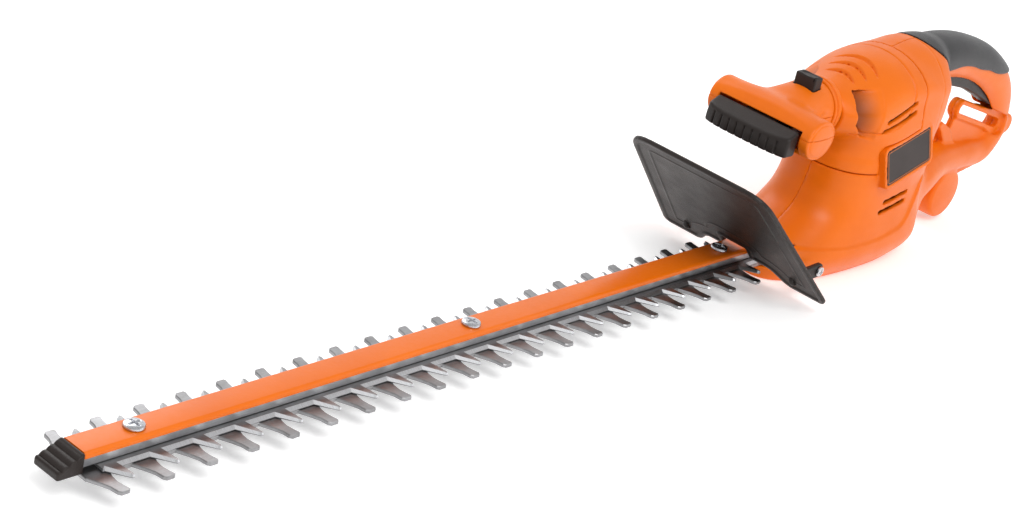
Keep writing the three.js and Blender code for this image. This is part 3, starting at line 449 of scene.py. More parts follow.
def relief(f, x, y, z):
    """The body's field with its relief: skirt band, rear panel line, cap lip, pocket and swoosh grooves."""
    f = f - 1.5 * step_up(band_line(x) - z, 1.1) * step_up(694 - x, 5)
    ridge = curve(z, [14, 22, 29, 36, 44, 50], [540, 562, 577, 586, 592, 594])
    f = f + 1.3 * step_up(ridge - x, 3) * step_up(CREASE - 3 - z, 3) * step_up(z - 12, 8)
    lip = np.abs(cap_space(x, y, z))
    near_crease = step_up(CREASE + 9 - z, 3) * step_up(z - CREASE, 0.6)
    f = f - 0.7 * near_crease * step_up(CAP_REAR - 16 - x, 6)
    f = f + 0.8 * (1 - step_up(lip - 0.5, 0.5))
    rear_line = np.abs(x - CAP_REAR - 22 - 0.05 * (z - CREASE)) - 0.3
    f = f + 0.5 * (1 - step_up(rear_line, 0.5)) * step_up(z - CREASE - 8, 3)
    f = f + 0.9 * (1 - step_up(stroke(x, z, CAP_GROOVE) - 0.55, 0.45)) * step_up(z - 74, 1)
    collar = step_up(grip_start(z) - 0.4 - x, 0.8) * step_up(x - grip_start(z) + 20, 12) * step_up(z - 98, 4)
    f = f - 1.4 * collar
    pocket = outline(x, z, POCKET)
    depth = 5 * step_up(600 - x, 10) + 0.5
    f = f + depth * (1 - step_up(pocket, 1.1)) * step_up(np.abs(y) - 12, 3)
    for middle, half in SWOOSH:
        across = np.abs(x - middle + 0.016 * y ** 2) - 1.7 * np.clip(1 - (y / half) ** 2, 0, 1)
        f = f + 2.0 * (1 - step_up(across - 0.1, 0.7)) * step_up(half - np.abs(y), 2) * step_up(z - 100, 3)
    return f


def vents(x, y, z, places):
    """Round-ended slots through both side walls."""
    slots = np.minimum.reduce([segment(x, z, start, end)[0] - VENT_RADIUS for start, end in places])
    return np.maximum(slots, VENT_INNER - np.abs(y))


# %% [markdown]
# ## The motor cap
#
# The cap is what the outline of its parting line cuts out of the body, less the same body shrunk by
# the wall. It is one moulding, open below, behind and at the collar.

# %% Motor cap
CAP_STEP = 0.9


def cap_field(x, y, z):
    """Body with relief, hollowed by the wall and cut along the parting line with a small rounded edge."""
    whole = body(x, y, z)
    skin = smooth_max(relief(whole, x, y, z), COLLAR_FRONT - x, 1)
    skin = smooth_max(skin, cap_space(x, y, z), 0.7)
    skin = np.maximum(skin, -(np.maximum(whole, relief(whole, x, y, z)) + WALL))
    return smooth_max(skin, -vents(x, y, z, UPPER_VENTS), 0.5)


points, faces = net(cap_field, CAP_LOW - 4, CAP_HIGH + 4, CAP_STEP)
motor_cap = piece("cap_shell", points, faces)
side_x, side_y, side_z = points.T
# Painted shade: towards the front of the intake pocket, the points get a value that the orange finish turns
# dark brown, for the shadow in the deep recess.
inside = 1 - step_up(outline(side_x, side_z, POCKET) - 0.2, 0.6)
shade = (0.9 * inside * step_up(600 - side_x, 9) * (np.abs(side_y) > 12)).astype(np.float32)
pocket_painted_shade = motor_cap.data.attributes.new("pocket_painted_shade", "FLOAT", "POINT")
pocket_painted_shade.data.foreach_set("value", shade)

# %% [markdown]
# ## The lower housing
#
# Two mirrored halves meet on the middle plane. They carry the skirt, the D-shaped rear handle, the loop
# that holds an extension cord, the hook below it and the frame that the badge sits in. The field is made
# once for both; each half is the part of it on its own side of the plane.

# %% Cord loop, hook and badge frame
SLOT_X, SLOT_Z, SLOT_TILT = 809.0, 52.0, math.radians(17.5)
SLOT_HALF, SLOT_HEIGHT, SLOT_RIM = 35.0, 3.5, 3.6
WEB = [(790, 2), (776, 30), (773, 46), (776, 56), (821, 42), (849, 34), (835, 8)]
HOOK = [(768, 2), (768, 28), (764, 40), (754, 51), (757, 54), (771, 47), (783, 32), (793, 2)]
TRIGGER_SLOT = [
    (713, 84), (713, 110), (750, 106), (790, 92), (822, 77), (833, 67), (831, 58), (824, 56), (814, 58.5),
    (800, 64), (770, 77), (745, 83),
]


def along_slot(x, z):
    """Places along and across the cord slot, whose rear end is the lower one."""
    a, b = x - SLOT_X, z - SLOT_Z
    return (
        a * math.cos(SLOT_TILT) - b * math.sin(SLOT_TILT),
        a * math.sin(SLOT_TILT) + b * math.cos(SLOT_TILT),
    )


def cord_loop(x, y, z):
    """A flat loop with a round rim, its web, the round boss behind it and the hook below."""
    along, across = along_slot(x, z)
    ring = rounded_box(along, across, SLOT_HALF + SLOT_RIM, SLOT_HEIGHT + SLOT_RIM, SLOT_HEIGHT + SLOT_RIM)
    loop = smooth_max(ring, np.abs(y) - 4.5, 1.6)
    web = smooth_max(outline(x, z, WEB), np.abs(y) - 2.5, 1)
    boss = smooth_max(np.hypot(x - SLOT_X - 45, z - SLOT_Z + 12) - 8, np.abs(y) - 7.2, 2.5)
    hook = smooth_max(outline(x, z, HOOK) - 0.5, np.abs(y) - 4 - 0.06 * (50 - z), 1.4)
    return smooth_min(smooth_min(smooth_min(loop, web, 2.5), boss, 3), hook, 2)


def housing_skin(x, y, z):
    """The outer skin: body and relief, flat base, cord loop with a fillet, and the badge's raised frame."""
    whole = body(x, y, z)
    along, across = along_slot(x, z)
    ring = rounded_box(along, across, SLOT_HALF + SLOT_RIM, SLOT_HEIGHT + SLOT_RIM, SLOT_HEIGHT + SLOT_RIM)
    flat = smooth_max(ring - 1.5, 4.2 - np.abs(y), 2)
    skin = smooth_max(relief(whole, x, y, z), -flat, 2)
    skin = smooth_min(skin, cord_loop(x, y, z), 2.5)
    along, across, out = on_badge(x, y, z)
    frame_edge = rounded_box(along, across, BADGE_HALF + 2.6, BADGE_RISE + 2.6, 4.5)
    raised = smooth_max(frame_edge, np.abs(out + 3.4) - 5, 0.8)
    skin = smooth_min(skin, raised, 1.2)
    sunk = smooth_max(rounded_box(along, across, BADGE_HALF + 0.3, BADGE_RISE + 0.3, 2.5), 0.5 - out, 0.3)
    skin = smooth_max(skin, -sunk, 0.3)
    return smooth_max(skin, BASE - z, 1.6), whole


# %% Lower housing halves
MOUTH_HALF, MOUTH_REAR = 21.5, 584
TRIGGER_WAY_HALF, WELL_RADIUS, WELL_DEPTH = 7.8, 4.4, 2.6
MOUTH_LOW, MOUTH_HIGH = box_mm("lower_blade")[0][2] - 2, 1.5
INLET_LOW, INLET_HIGH = box_mm("power_inlet")
INLET_Z = (INLET_LOW[2] + INLET_HIGH[2]) / 2
INLET_RADIUS = (INLET_HIGH[2] - INLET_LOW[2]) / 2
SCREWS = [box_mm(f"housing_screw_{i}") for i in (1, 2, 3)]


def housing_field(x, y, z):
    """The housing's skin less its hollow, the cap's space, the blade mouth and every hole."""
    skin, whole = housing_skin(x, y, z)
    along, across = along_slot(x, z)
    slot = rounded_box(along, across, SLOT_HALF, SLOT_HEIGHT, SLOT_HEIGHT)
    hollow = np.maximum(whole + WALL, SLOT_RIM + 2 * WALL - slot)
    solid = np.minimum(np.maximum(skin, -hollow), cord_loop(x, y, z))
    solid = smooth_max(solid, -slot, 0.9)
    solid = smooth_max(solid, GAP - cap_space(x, y, z), 0.7)
    trigger_way = np.maximum(outline(x, z, TRIGGER_SLOT), np.abs(y) - TRIGGER_WAY_HALF)
    solid = smooth_max(solid, -trigger_way, 0.8)
    mouth = np.maximum(slab(z, MOUTH_LOW, MOUTH_HIGH), np.maximum(np.abs(y) - MOUTH_HALF, x - MOUTH_REAR))
    solid = smooth_max(solid, -mouth, 0.6)
    solid = smooth_max(solid, -vents(x, y, z, LOWER_VENTS), 0.5)
    inlet = np.maximum(np.hypot(y, z - INLET_Z) - INLET_RADIUS - GAP, INLET_LOW[0] - 1 - x)
    solid = smooth_max(solid, -inlet, 0.5)
    for low, high in SCREWS:
        centre = (low + high) / 2
        well = np.hypot(x - centre[0], z - centre[2]) - WELL_RADIUS
        solid = smooth_max(solid, -np.maximum(well, high[1] - WELL_DEPTH - y), 0.5)
    return solid


HOUSING_STEP = 1.15
SEAM = 0.05
halves = {}
for side, sign in (("left", -1), ("right", 1)):
    low, high = box_mm(f"lower_housing_{side}")
    low, high = low - 3, high + 3

    def half_field(x, y, z):
        return np.maximum(housing_field(x, y, z), SEAM - sign * y)

    points, faces = net(half_field, low, high, HOUSING_STEP)
    halves[side] = piece(f"housing_shell_{side}", points, faces)

# %% [markdown]
# ## Front handle
#
# A T: an oval bar across the tool, whose ends are shallow lenses with a crisp rim, flowing into a neck
# that ends in the round collar. The bar's front is open for the lever, and the neck's top for the
# button. Two shells meet on a level seam that hardly shows.

# %% T-shaped handle
BAR_X, BAR_Z, BAR_HALF, BAR_RX, BAR_RZ = 527.0, 90.5, 41.0, 15.0, 13.0
NECK_Z = 92.0
RING_LOW, RING_HIGH = box_mm("collar_ring")
LEVER_LOW, LEVER_HIGH = box_mm("front_lever")
LEVER_BACK = BAR_X - BAR_RX + 1
BUTTON_LOW, BUTTON_HIGH = box_mm("lock_button")
BUTTON_TRAVEL = 3.5
NECK_X = [522, BAR_X + 8, BAR_X + 16, BAR_X + 26, BAR_X + 40, 580]
NECK_HALF = [36, 31, 25.5, 21, 18.6, 18]
NECK_RISE = [10, 11.5, 13.5, 16, 18, 18]


def t_handle(x, y, z):
    """Bar and neck with a wide fillet between them, and an eye-shaped dimple on each side of the neck."""
    r = np.hypot((x - BAR_X) / BAR_RX, (z - BAR_Z) / BAR_RZ)
    bar = oval(x - BAR_X, z - BAR_Z, BAR_RX, BAR_RZ)
    end = np.abs(y) - BAR_HALF + 1.4 * r ** 2
    bar = smooth_max(bar, end, 1.4)
    rim = np.maximum(np.abs(r - 0.84) * BAR_RZ - 0.5, BAR_HALF - 4 - np.abs(y))
    bar = bar + 0.45 * (1 - step_up(rim, 0.4))
    half, rise = curve(x, NECK_X, NECK_HALF), curve(x, NECK_X, NECK_RISE)
    middle = BAR_Z + (NECK_Z - BAR_Z) * step_up(x - BAR_X - 20, 24)
    neck = smooth_max(oval(y, z - middle, half, rise, 2.1), np.abs(x - 548) - 27, 2)
    joined = smooth_min(bar, neck, 7)
    eye = oval(x - 560, z - 94, 6.5, 3.6)
    return joined + 1.1 * (1 - step_up(eye + 1.2, 2.4)) * step_up(np.abs(y) - 8, 3)


def t_shell(x, y, z):
    """The T hollowed by its wall, with the lever's and the button's openings and a flat rear end."""
    whole = t_handle(x, y, z)
    shell = np.maximum(whole, -(whole + WALL))
    front = np.maximum(x - LEVER_BACK - 6, np.abs(y) - (LEVER_HIGH[1] + 0.8))
    front = np.maximum(front, slab(z, LEVER_LOW[2] - 4, LEVER_HIGH[2] + 0.5))
    middle_x, half_x = (BUTTON_LOW[0] + BUTTON_HIGH[0]) / 2, (BUTTON_HIGH[0] - BUTTON_LOW[0]) / 2
    top = rounded_box(x - middle_x, y, half_x + 0.4, BUTTON_HIGH[1] + 0.4, 1.5)
    top = np.maximum(top, BUTTON_LOW[2] - BUTTON_TRAVEL - 1 - z)
    shell = smooth_max(smooth_max(shell, -front, 0.6), -top, 0.5)
    return smooth_max(shell, x - RING_LOW[0] + GAP, 0.4)


t_pieces = {}
for side, sign in (("upper", 1), ("lower", -1)):
    low, high = box_mm(f"front_handle_{side}")

    def t_part(x, y, z):
        return np.maximum(t_shell(x, y, z), SEAM - sign * (z - NECK_Z))

    points, faces = net(t_part, low - 2, high + 2, 0.75)
    t_pieces[side] = piece(f"handle_shell_{side}", points, faces)

# %% [markdown]
# The collar ring covers the joint between the neck and the motor cap. It is round, so its field needs
# only the distance from the neck's axis and the place along x. A lathed profile would do as well, but
# a field rounds its edges in the same way as the shells on both sides of it.

# %% Collar ring
def collar_field(x, y, z):
    """A ring with two rounded bands and a groove between them."""
    radius = np.hypot(y, z - NECK_Z)
    middle = (RING_LOW[0] + RING_HIGH[0]) / 2
    outer = radius - RING_HIGH[1] + 1.6 * (1 - step_up(np.abs(x - middle + 1) - 0.6, 0.7))
    ring = smooth_max(outer, np.abs(x - middle) - (RING_HIGH[0] - RING_LOW[0]) / 2, 1.2)
    return smooth_max(ring, RING_HIGH[1] - 4.5 - radius, 0.5)


points, faces = net(collar_field, RING_LOW - 2, RING_HIGH + 2, 0.7)
collar = piece("collar_band", points, faces)

# %% [markdown]
# ## Black parts of the handles
#
# The lever is a bowed pad with upright ribs, the button has a notched near end, the trigger is a curved
# band that ends in a hook, and the soft grip is the handle's own field moved out, so that it wraps it.

# %% Front lever
RIB_PITCH = 6.1
PIVOT_HALF, PIVOT_WIDE, LEVER_BORE = 3, 12, 1.86
PIN_LOW, PIN_HIGH = box_mm("lever_pin")


def lever_field(x, y, z):
    """A bowed bar: its front face retreats with the fourth power of y; ribs are a rounded wave along y."""
    bow = 3.6 * (np.abs(y) / LEVER_HIGH[1]) ** 4
    front = LEVER_LOW[0] + bow + 0.16 * np.maximum(z - LEVER_LOW[2] - 6, 0)
    groove = 1 - step_up(np.abs(np.sin(np.pi * y / RIB_PITCH)) - 0.3, 0.22)
    on_ribs = step_up(LEVER_HIGH[1] - 4 - np.abs(y), 1) * step_up(LEVER_HIGH[2] - 7.5 - z, 0.8)
    front = front + 1.1 * groove * on_ribs
    block = smooth_max(front - x, x - LEVER_BACK + 0.1, 1)
    block = smooth_max(block, np.abs(y) - LEVER_HIGH[1], 1.6)
    slope = (LEVER_BACK - x) * 0.42
    return smooth_max(block, np.maximum(LEVER_LOW[2] - z, z - LEVER_HIGH[2] + slope), 1.8)


def lever_all(x, y, z):
    """The bar, its pivot rib behind and the pin's bore."""
    middle = (PIN_LOW + PIN_HIGH) / 2
    behind = slab(x, LEVER_BACK - 2, middle[0] + PIVOT_HALF)
    rib = np.maximum(np.abs(y) - PIVOT_WIDE, np.maximum(behind, np.abs(z - middle[2]) - PIVOT_HALF))
    bore = np.hypot(x - middle[0], z - middle[2]) - LEVER_BORE
    return smooth_max(smooth_min(lever_field(x, y, z), rib, 0.5), -bore, 0.2)


points, faces = net(lever_all, LEVER_LOW - 1, LEVER_HIGH + 1, 0.55)
lever = piece("lever_pad", points, faces, 50)

# %% [markdown]
# The lock button slides down into the neck. It is small and is seen from above, so its rounded edges
# and its thumb hollow are real shape, on a finer grid than the big shells have.

# %% Lock button


def button_field(x, y, z):
    """A rounded block with a narrow groove near its near end and a shallow hollow for the thumb."""
    middle = (BUTTON_LOW + BUTTON_HIGH) / 2
    half = (BUTTON_HIGH - BUTTON_LOW) / 2
    cap = smooth_max(rounded_box(x - middle[0], y, half[0], half[1], 1.4), z - BUTTON_HIGH[2], 1.2)
    thumb = 1 - step_up(oval(x - middle[0], y, 3.2, 5.5), 1.2)
    cap = cap + 0.6 * thumb * step_up(z - BUTTON_HIGH[2] + 3, 1)
    notch = np.maximum(np.abs(y + half[1] - 1.5) - 0.35, BUTTON_HIGH[2] - 2.4 - z)
    return np.maximum(smooth_max(cap, -notch, 0.3), BUTTON_LOW[2] - z)


points, faces = net(button_field, BUTTON_LOW - 1, BUTTON_HIGH + 1, 0.4)
button = piece("lock_button_cap", points, faces, 50)

# %% [markdown]
# The spring under the button is wire wound up a helix. That is a surface of two parameters, the way
# along the wire and the angle round it, so it is computed straight and needs no field.

# %% Button spring
SPRING_LOW, SPRING_HIGH = box_mm("button_spring")
WIRE, COILS = 0.5, 6


def spring_mesh():
    """A ring of wire carried up a helix: middle (R cos a, R sin a, low + rise),
    ring r (cos b out, sin b up)."""
    middle = (SPRING_LOW + SPRING_HIGH) / 2
    radius = (SPRING_HIGH[0] - SPRING_LOW[0]) / 2 - WIRE
    share = np.linspace(0, 1, COILS * 28)[:, None]
    turn, ring = 2 * np.pi * COILS * share, np.linspace(0, 2 * np.pi, 12, endpoint=False)[None, :]
    reach = radius + WIRE * np.cos(ring)
    height = SPRING_LOW[2] + WIRE + share * (SPRING_HIGH[2] - SPRING_LOW[2] - 2 * WIRE) + WIRE * np.sin(ring)
    points = np.stack([middle[0] + reach * np.cos(turn), middle[1] + reach * np.sin(turn), height], axis=-1)
    rows, columns = len(share), ring.shape[1]
    i, j = (g.ravel() for g in np.meshgrid(np.arange(rows - 1), np.arange(columns), indexing="ij"))
    after = (j + 1) % columns
    here, above = i * columns, (i + 1) * columns
    quads = np.stack([above + j, above + after, here + after, here + j], axis=1)
    ends = [list(range(columns)), list(range((rows - 1) * columns, rows * columns))[::-1]]
    return points.reshape(-1, 3), quads.tolist() + ends


spring = piece("button_coil", *spring_mesh(), 60)

# %% [markdown]
# The trigger lies in a slot under the grip. Seen from the side it is one outline, and the field
# rounds its edges across the tool.

# %% Trigger
TRIGGER_LOW, TRIGGER_HIGH = box_mm("rear_trigger")
TRIGGER = [
    (718, 87.5), (745, 85.3), (770, 79.5), (790, 72), (806, 65.5), (816, 60.8), (822, 59.2), (827.5, 60),
    (828.5, 64), (821, 73), (806, 83), (780, 95), (750, 101), (727, 104), (718, 101),
]
TRIGGER_PIN, TRIGGER_BORE = box_mm("trigger_pin"), 2.1


def trigger_field(x, y, z):
    """The trigger's side outline, rounded across, with the bore of its pin."""
    middle = (TRIGGER_PIN[0] + TRIGGER_PIN[1]) / 2
    flat = smooth_max(outline(x, z, TRIGGER), np.abs(y) - TRIGGER_HIGH[1], 3)
    bore = np.hypot(x - middle[0], z - middle[2]) - TRIGGER_BORE
    return smooth_max(flat, -bore, 0.3)


points, faces = net(trigger_field, TRIGGER_LOW - 1, TRIGGER_HIGH + 1, 0.8)
trigger = piece("trigger_blade", points, faces, 50)

# %% [markdown]
# Soft rubber is moulded over the handle. The grip is therefore the body's own field moved out, between
# 0.3 and 1.7 mm from the skin, and cut along a wavy lower edge and a slanting front edge.

# %% Soft grip
GRIP_LOW, GRIP_HIGH = box_mm("grip_cover")
GRIP_EDGE_X = [690, 704, 719, 733, 749, 765, 777, 790, 803, 818, 828]
GRIP_EDGE_Z = [106.5, 105.5, 105, 105.5, 103.5, 99, 97, 93, 91, 90.5, 92]


def grip_field(x, y, z):
    """The body moved out by the grip's thickness, above a wavy edge and behind a slanting one."""
    whole = body(x, y, z)
    edge = curve(x, GRIP_EDGE_X, GRIP_EDGE_Z) - z
    start = grip_start(z) - x
    tail = (x - 818) * 0.75 + (z - 88) * 0.66 - 9
    cover = smooth_max(smooth_max(edge * 0.9, start * 0.9, 2.5), tail, 3)
    return smooth_max(smooth_max(whole - 1.7, -(whole - 0.3), 0.6), cover, 1.2)


points, faces = net(grip_field, GRIP_LOW - 4, GRIP_HIGH + 4, 0.9)
grip = piece("grip_skin", points, faces, 50)

# %% [markdown]
# ## Guard
#
# The hand guard is a thin leaning plate. Its field is made lying flat, where it is a side outline and a
# thickness, and the finished points are then turned up into the lean. The rim is thicker than the
# panel, and a fine raised line follows the edge.

# %% Guard
GUARD_TOP_X, GUARD_TOP_Z, GUARD_FOOT_X, GUARD_LOW_Z = 456.0, 67.0, 527.0, -17.0
GUARD_SLOPE = (GUARD_FOOT_X - GUARD_TOP_X) / GUARD_TOP_Z
GUARD_LENGTH = (GUARD_TOP_Z - GUARD_LOW_Z) * math.hypot(1, GUARD_SLOPE)
GUARD_THICK = 3.0
GUARD_UP = np.array([-GUARD_SLOPE, 0, 1]) / math.hypot(1, GUARD_SLOPE)
GUARD_OUT = np.cross([0, 1, 0], GUARD_UP)
GUARD_FOOT = np.array([GUARD_FOOT_X - GUARD_SLOPE * GUARD_LOW_Z, 0, GUARD_LOW_Z])


def bend(before, corner, after, reach, count=7):
    """Points of a curve that rounds a corner: (1-t)^2 start + 2 t (1-t) corner + t^2 end."""
    before, corner, after = (np.array(p, float) for p in (before, corner, after))
    start = corner + (before - corner) * min(1, reach / np.linalg.norm(before - corner))
    end = corner + (after - corner) * min(1, reach / np.linalg.norm(after - corner))
    t = np.linspace(0, 1, count)[:, None]
    return [tuple(p) for p in (1 - t) ** 2 * start + 2 * t * (1 - t) * corner + t * t * end]


GUARD_CORNERS = [
    (0, GUARD_LENGTH), (54, GUARD_LENGTH), (67.8, 0), (36, 0), (26, 14), (9.8, 14), (9.8, 27), (0, 27),
]
half_edge = []
for i, reach in ((1, 17), (2, 7), (3, 5), (4, 5), (5, 1), (6, 1)):
    half_edge += bend(*GUARD_CORNERS[i - 1:i + 2], reach)
GUARD_EDGE = half_edge + [(-a, b) for a, b in reversed(half_edge)]


def guard_field(across, up, out):
    """A plate with a thick rounded rim, a thinner panel and a raised line near the edge."""
    edge = outline(across, up, GUARD_EDGE)
    panel = step_up(-edge - 4, 0.8)
    line = 1 - step_up(np.abs(edge + 13) - 0.7, 0.7)
    half = GUARD_THICK / 2 - 0.85 * panel + 0.4 * line
    return smooth_max(edge, np.abs(out - GUARD_THICK / 2) - half, 1.1)


guard_low, guard_high = np.array([-69, -1, -1]), np.array([69, GUARD_LENGTH + 1, GUARD_THICK + 1])
points, faces = net(guard_field, guard_low, guard_high, 0.8)
points = GUARD_FOOT + points[:, :1] * [0, 1, 0] + points[:, 1:2] * GUARD_UP + points[:, 2:] * GUARD_OUT
guard = piece("guard_plate", points, faces, 40)

# %% [markdown]
# Two lugs run back from the guard to the sides of the housing, and a small screw holds each.

# %% Guard ears
EAR_INNER = 42.3
ears = []
for side, sign in (("left", -1), ("right", 1)):

    def ear_field(x, y, z):
        """A rounded lug that runs from the guard's foot back to its screw."""
        reach = segment(x, z, (538, -6), (563, -5))[0]
        return smooth_max(reach - 5, np.abs(sign * y - EAR_INNER - 1.75) - 1.7, 1.2)

    y_low, y_high = sorted((sign * EAR_INNER, sign * (EAR_INNER + 3.6)))
    points, faces = net(ear_field, np.array([531, y_low - 1, -12]), np.array([569, y_high + 1, 1]), 0.6)
    ears.append(piece(f"guard_ear_{side}", points, faces, 40))

# %% Nose
NOSE_LOW, NOSE_HIGH = box_mm("nose")


def nose_field(x, y, z):
    """A wedge whose sloping top carries three grooves across it."""
    slope = (x - NOSE_LOW[0]) * (NOSE_HIGH[2] + 6.8) / (NOSE_HIGH[0] - NOSE_LOW[0]) - 6.8
    grooves = 0.8 * (1 - np.abs(np.sin(np.pi * (x - NOSE_LOW[0] - 2.2) / 4.1)) ** 0.7)
    grooves = grooves * step_up(NOSE_HIGH[0] - 1.8 - x, 0.5) * step_up(x - NOSE_LOW[0] - 1.6, 0.5)
    top = z - slope + grooves
    block = smooth_max(slab(x, NOSE_LOW[0], NOSE_HIGH[0]), np.abs(y) - NOSE_HIGH[1], 1.2)
    return smooth_max(smooth_max(block, top, 1), NOSE_LOW[2] - z, 0.6)


points, faces = net(nose_field, NOSE_LOW - 1, NOSE_HIGH + 1, 0.4)
nose = piece("nose_wedge", points, faces, 50)

# %% [markdown]
# ## Badge
#
# A blank plate with round corners sits in the raised frame; a thin copper-coloured line runs round it.

# %% Badge plate and border


def off_badge(points):
    """The badge's own directions turned back into the maker's frame."""
    along, across, out = points.T
    up = across * math.cos(BADGE_LEAN) + out * math.sin(BADGE_LEAN)
    c = -across * math.sin(BADGE_LEAN) + out * math.cos(BADGE_LEAN)
    x = BADGE_X + along * math.cos(BADGE_TILT) - up * math.sin(BADGE_TILT)
    z = BADGE_Z + along * math.sin(BADGE_TILT) + up * math.cos(BADGE_TILT)
    return np.stack([x, -SIDE - c, z], axis=1)


def badge_field(a, b, c):
    """A thin plate with round corners."""
    return smooth_max(rounded_box(a, b, BADGE_HALF, BADGE_RISE, 2.4), np.abs(c - 0.95) - 0.38, 0.3)


def border_field(a, b, c):
    """A fine ridge that follows the plate's edge."""
    ring = np.abs(rounded_box(a, b, BADGE_HALF - 1.3, BADGE_RISE - 1.3, 1.6)) - 0.32
    return smooth_max(ring, np.abs(c - 1.42) - 0.16, 0.12)


span = np.array([BADGE_HALF + 1, BADGE_RISE + 1, 2.2])
points, faces = net(badge_field, -span, span, 0.3)
badge = piece("badge_face", off_badge(points), faces[:, ::-1], 40)
points, faces = net(border_field, -span, span, 0.22)
border = piece("badge_border", off_badge(points), faces[:, ::-1], 40)

# %% [markdown]
# ## Blades, strip and screws
#
# The blades are stamped from sheet, so they are outlines with two levels: the lower ring of points is
# the outline itself, and the top ring is the same outline moved in along its corners' bisectors. On the
# short cutting teeth it moves in far, which is the ground bevel; elsewhere it only breaks the edge.

# %% Blade builder
PITCH, TEETH, SPINE = 27.0, 20, 12.5
STROKE, CAM = 7.0, 5.5
WINDOW_X, WINDOW_Y, YOKE_WALL = STROKE * 2 + CAM + 1, STROKE + CAM + 1, 6
GEAR_X = sum(corner[0] for corner in box_mm("gear_pin")) / 2
BLADE_SCREWS = [box_mm(f"blade_screw_{i}") for i in (1, 2, 3)]
LONG_TOOTH = [
    (-3.3, SPINE), (0.4, 19.4), (2.2, 23.6), (2.9, 28.4), (4.2, 29.8), (8.8, 29.8), (9.8, 28.6),
    (8.9, 25.2), (8.3, 21), (8.8, 17), (10.4, SPINE),
]
SHORT_TOOTH = [(7.3, SPINE), (14.6, 22.3), (15.6, 23.2), (16.9, 23.2), (17.9, 21.7), (17.7, SPINE)]


def toothed_outline(start, tooth, inset, end):
    """The blade's outline, counter-clockwise, and how far each corner moves in on the top face."""
    shifts = np.repeat(np.arange(TEETH) * PITCH, len(tooth))
    row = np.tile(np.array(tooth), (TEETH, 1)) + np.stack([shifts, 0 * shifts], axis=1)
    amount = np.tile(np.array(inset), TEETH)
    near = row * [1, -1]
    ends = np.array([[start, -SPINE], [end, -SPINE], [end, SPINE], [start, SPINE]])
    points = np.concatenate([ends[:1], near, ends[1:3], row[::-1], ends[3:]])
    amounts = np.concatenate([[0.25], amount, [0.25, 0.25], amount[::-1], [0.25]])
    return points, amounts


def moved_in(points, amounts):
    """Each corner moved in by its amount along the bisector of its two sides."""
    before, after = points - np.roll(points, 1, 0), np.roll(points, -1, 0) - points
    before /= np.linalg.norm(before, axis=1, keepdims=True)
    after /= np.linalg.norm(after, axis=1, keepdims=True)
    left = np.stack([-before[:, 1] - after[:, 1], before[:, 0] + after[:, 0]], axis=1)
    left /= np.maximum(np.linalg.norm(left, axis=1, keepdims=True), 0.1)
    cosine = (left * np.stack([-after[:, 1], after[:, 0]], axis=1)).sum(1, keepdims=True)
    return points + left * amounts[:, None] / np.maximum(cosine, 0.62)


def stadium(x, half, radius, count=10):
    """A slot's outline: two half circles."""
    turn = np.linspace(-np.pi / 2, np.pi / 2, count)
    right = np.stack([x + half + radius * np.cos(turn), radius * np.sin(turn)], axis=1)
    return np.concatenate([right, 2 * np.array([x, 0]) - right])


def blade(name, ring, amounts, bevel, low, high):
    """A plate with slots for the screws, a window for the cam and a bevelled top edge."""
    holes = [stadium((a[0] + b[0]) / 2, STROKE + GAP, 2.5 + GAP) for a, b in BLADE_SCREWS]
    holes.append(np.array([
        [GEAR_X - WINDOW_X, -WINDOW_Y], [GEAR_X + WINDOW_X, -WINDOW_Y],
        [GEAR_X + WINDOW_X, WINDOW_Y], [GEAR_X - WINDOW_X, WINDOW_Y],
    ]))
    inner = moved_in(ring, amounts)
    levels = [(ring, low), (ring, high - bevel), (inner, high)]
    points = [np.column_stack([p, np.full(len(p), z)]) for p, z in levels]
    for hole in holes:
        points += [np.column_stack([hole, np.full(len(hole), z)]) for z in (low, high)]
    count, faces = len(ring), []
    for level in (0, 1):
        i = np.arange(count)
        j = (i + 1) % count
        lower, upper = i + level * count, j + level * count
        faces += np.stack([lower, upper, upper + count, lower + count], axis=1).tolist()
    base = 3 * count
    caps = {"low": [np.arange(count)], "high": [np.arange(count) + 2 * count]}
    for hole in holes:
        n = len(hole)
        i = np.arange(n)
        j = (i + 1) % n
        faces += np.stack([base + j, base + i, base + n + i, base + n + j], axis=1).tolist()
        caps["low"].append(base + i)
        caps["high"].append(base + n + i)
        base += 2 * n
    points = np.concatenate(points)
    for level, rings in caps.items():
        numbers = np.concatenate(rings)
        triangles = np.array(tessellate_polygon([[Vector(p) for p in points[r]] for r in rings]))
        triangles = numbers[triangles]
        a, b, c = (points[triangles[:, k]] for k in range(3))
        facing = np.cross(b - a, c - a)[:, 2] > 0
        wrong = facing == (level == "low")
        triangles[wrong] = triangles[wrong][:, ::-1]
        faces += triangles.tolist()
    made = piece(name, points, faces, 20)
    ground = made.data.attributes.new("ground", "FLOAT", "FACE")
    share = np.zeros(len(made.data.polygons), np.float32)
    share[count:2 * count] = bevel > 1
    ground.data.foreach_set("value", share)
    return made


lower_low, lower_high = box_mm("lower_blade")
upper_low, upper_high = box_mm("upper_blade")


def with_yoke(points, amounts, end):
    """Widens the blade's rear end into the yoke round the cam's window."""
    yoke = WINDOW_Y + YOKE_WALL
    start = GEAR_X - WINDOW_X - YOKE_WALL
    corners = {(end, -SPINE): [(start, -SPINE), (start, -yoke), (end, -yoke)],
               (end, SPINE): [(end, yoke), (start, yoke), (start, SPINE)]}
    made, sizes = [], []
    for point, amount in zip(points.tolist(), amounts):
        extra = corners.get(tuple(point), [point])
        made += extra
        sizes += [amount] * len(extra)
    return np.array(made), np.array(sizes)


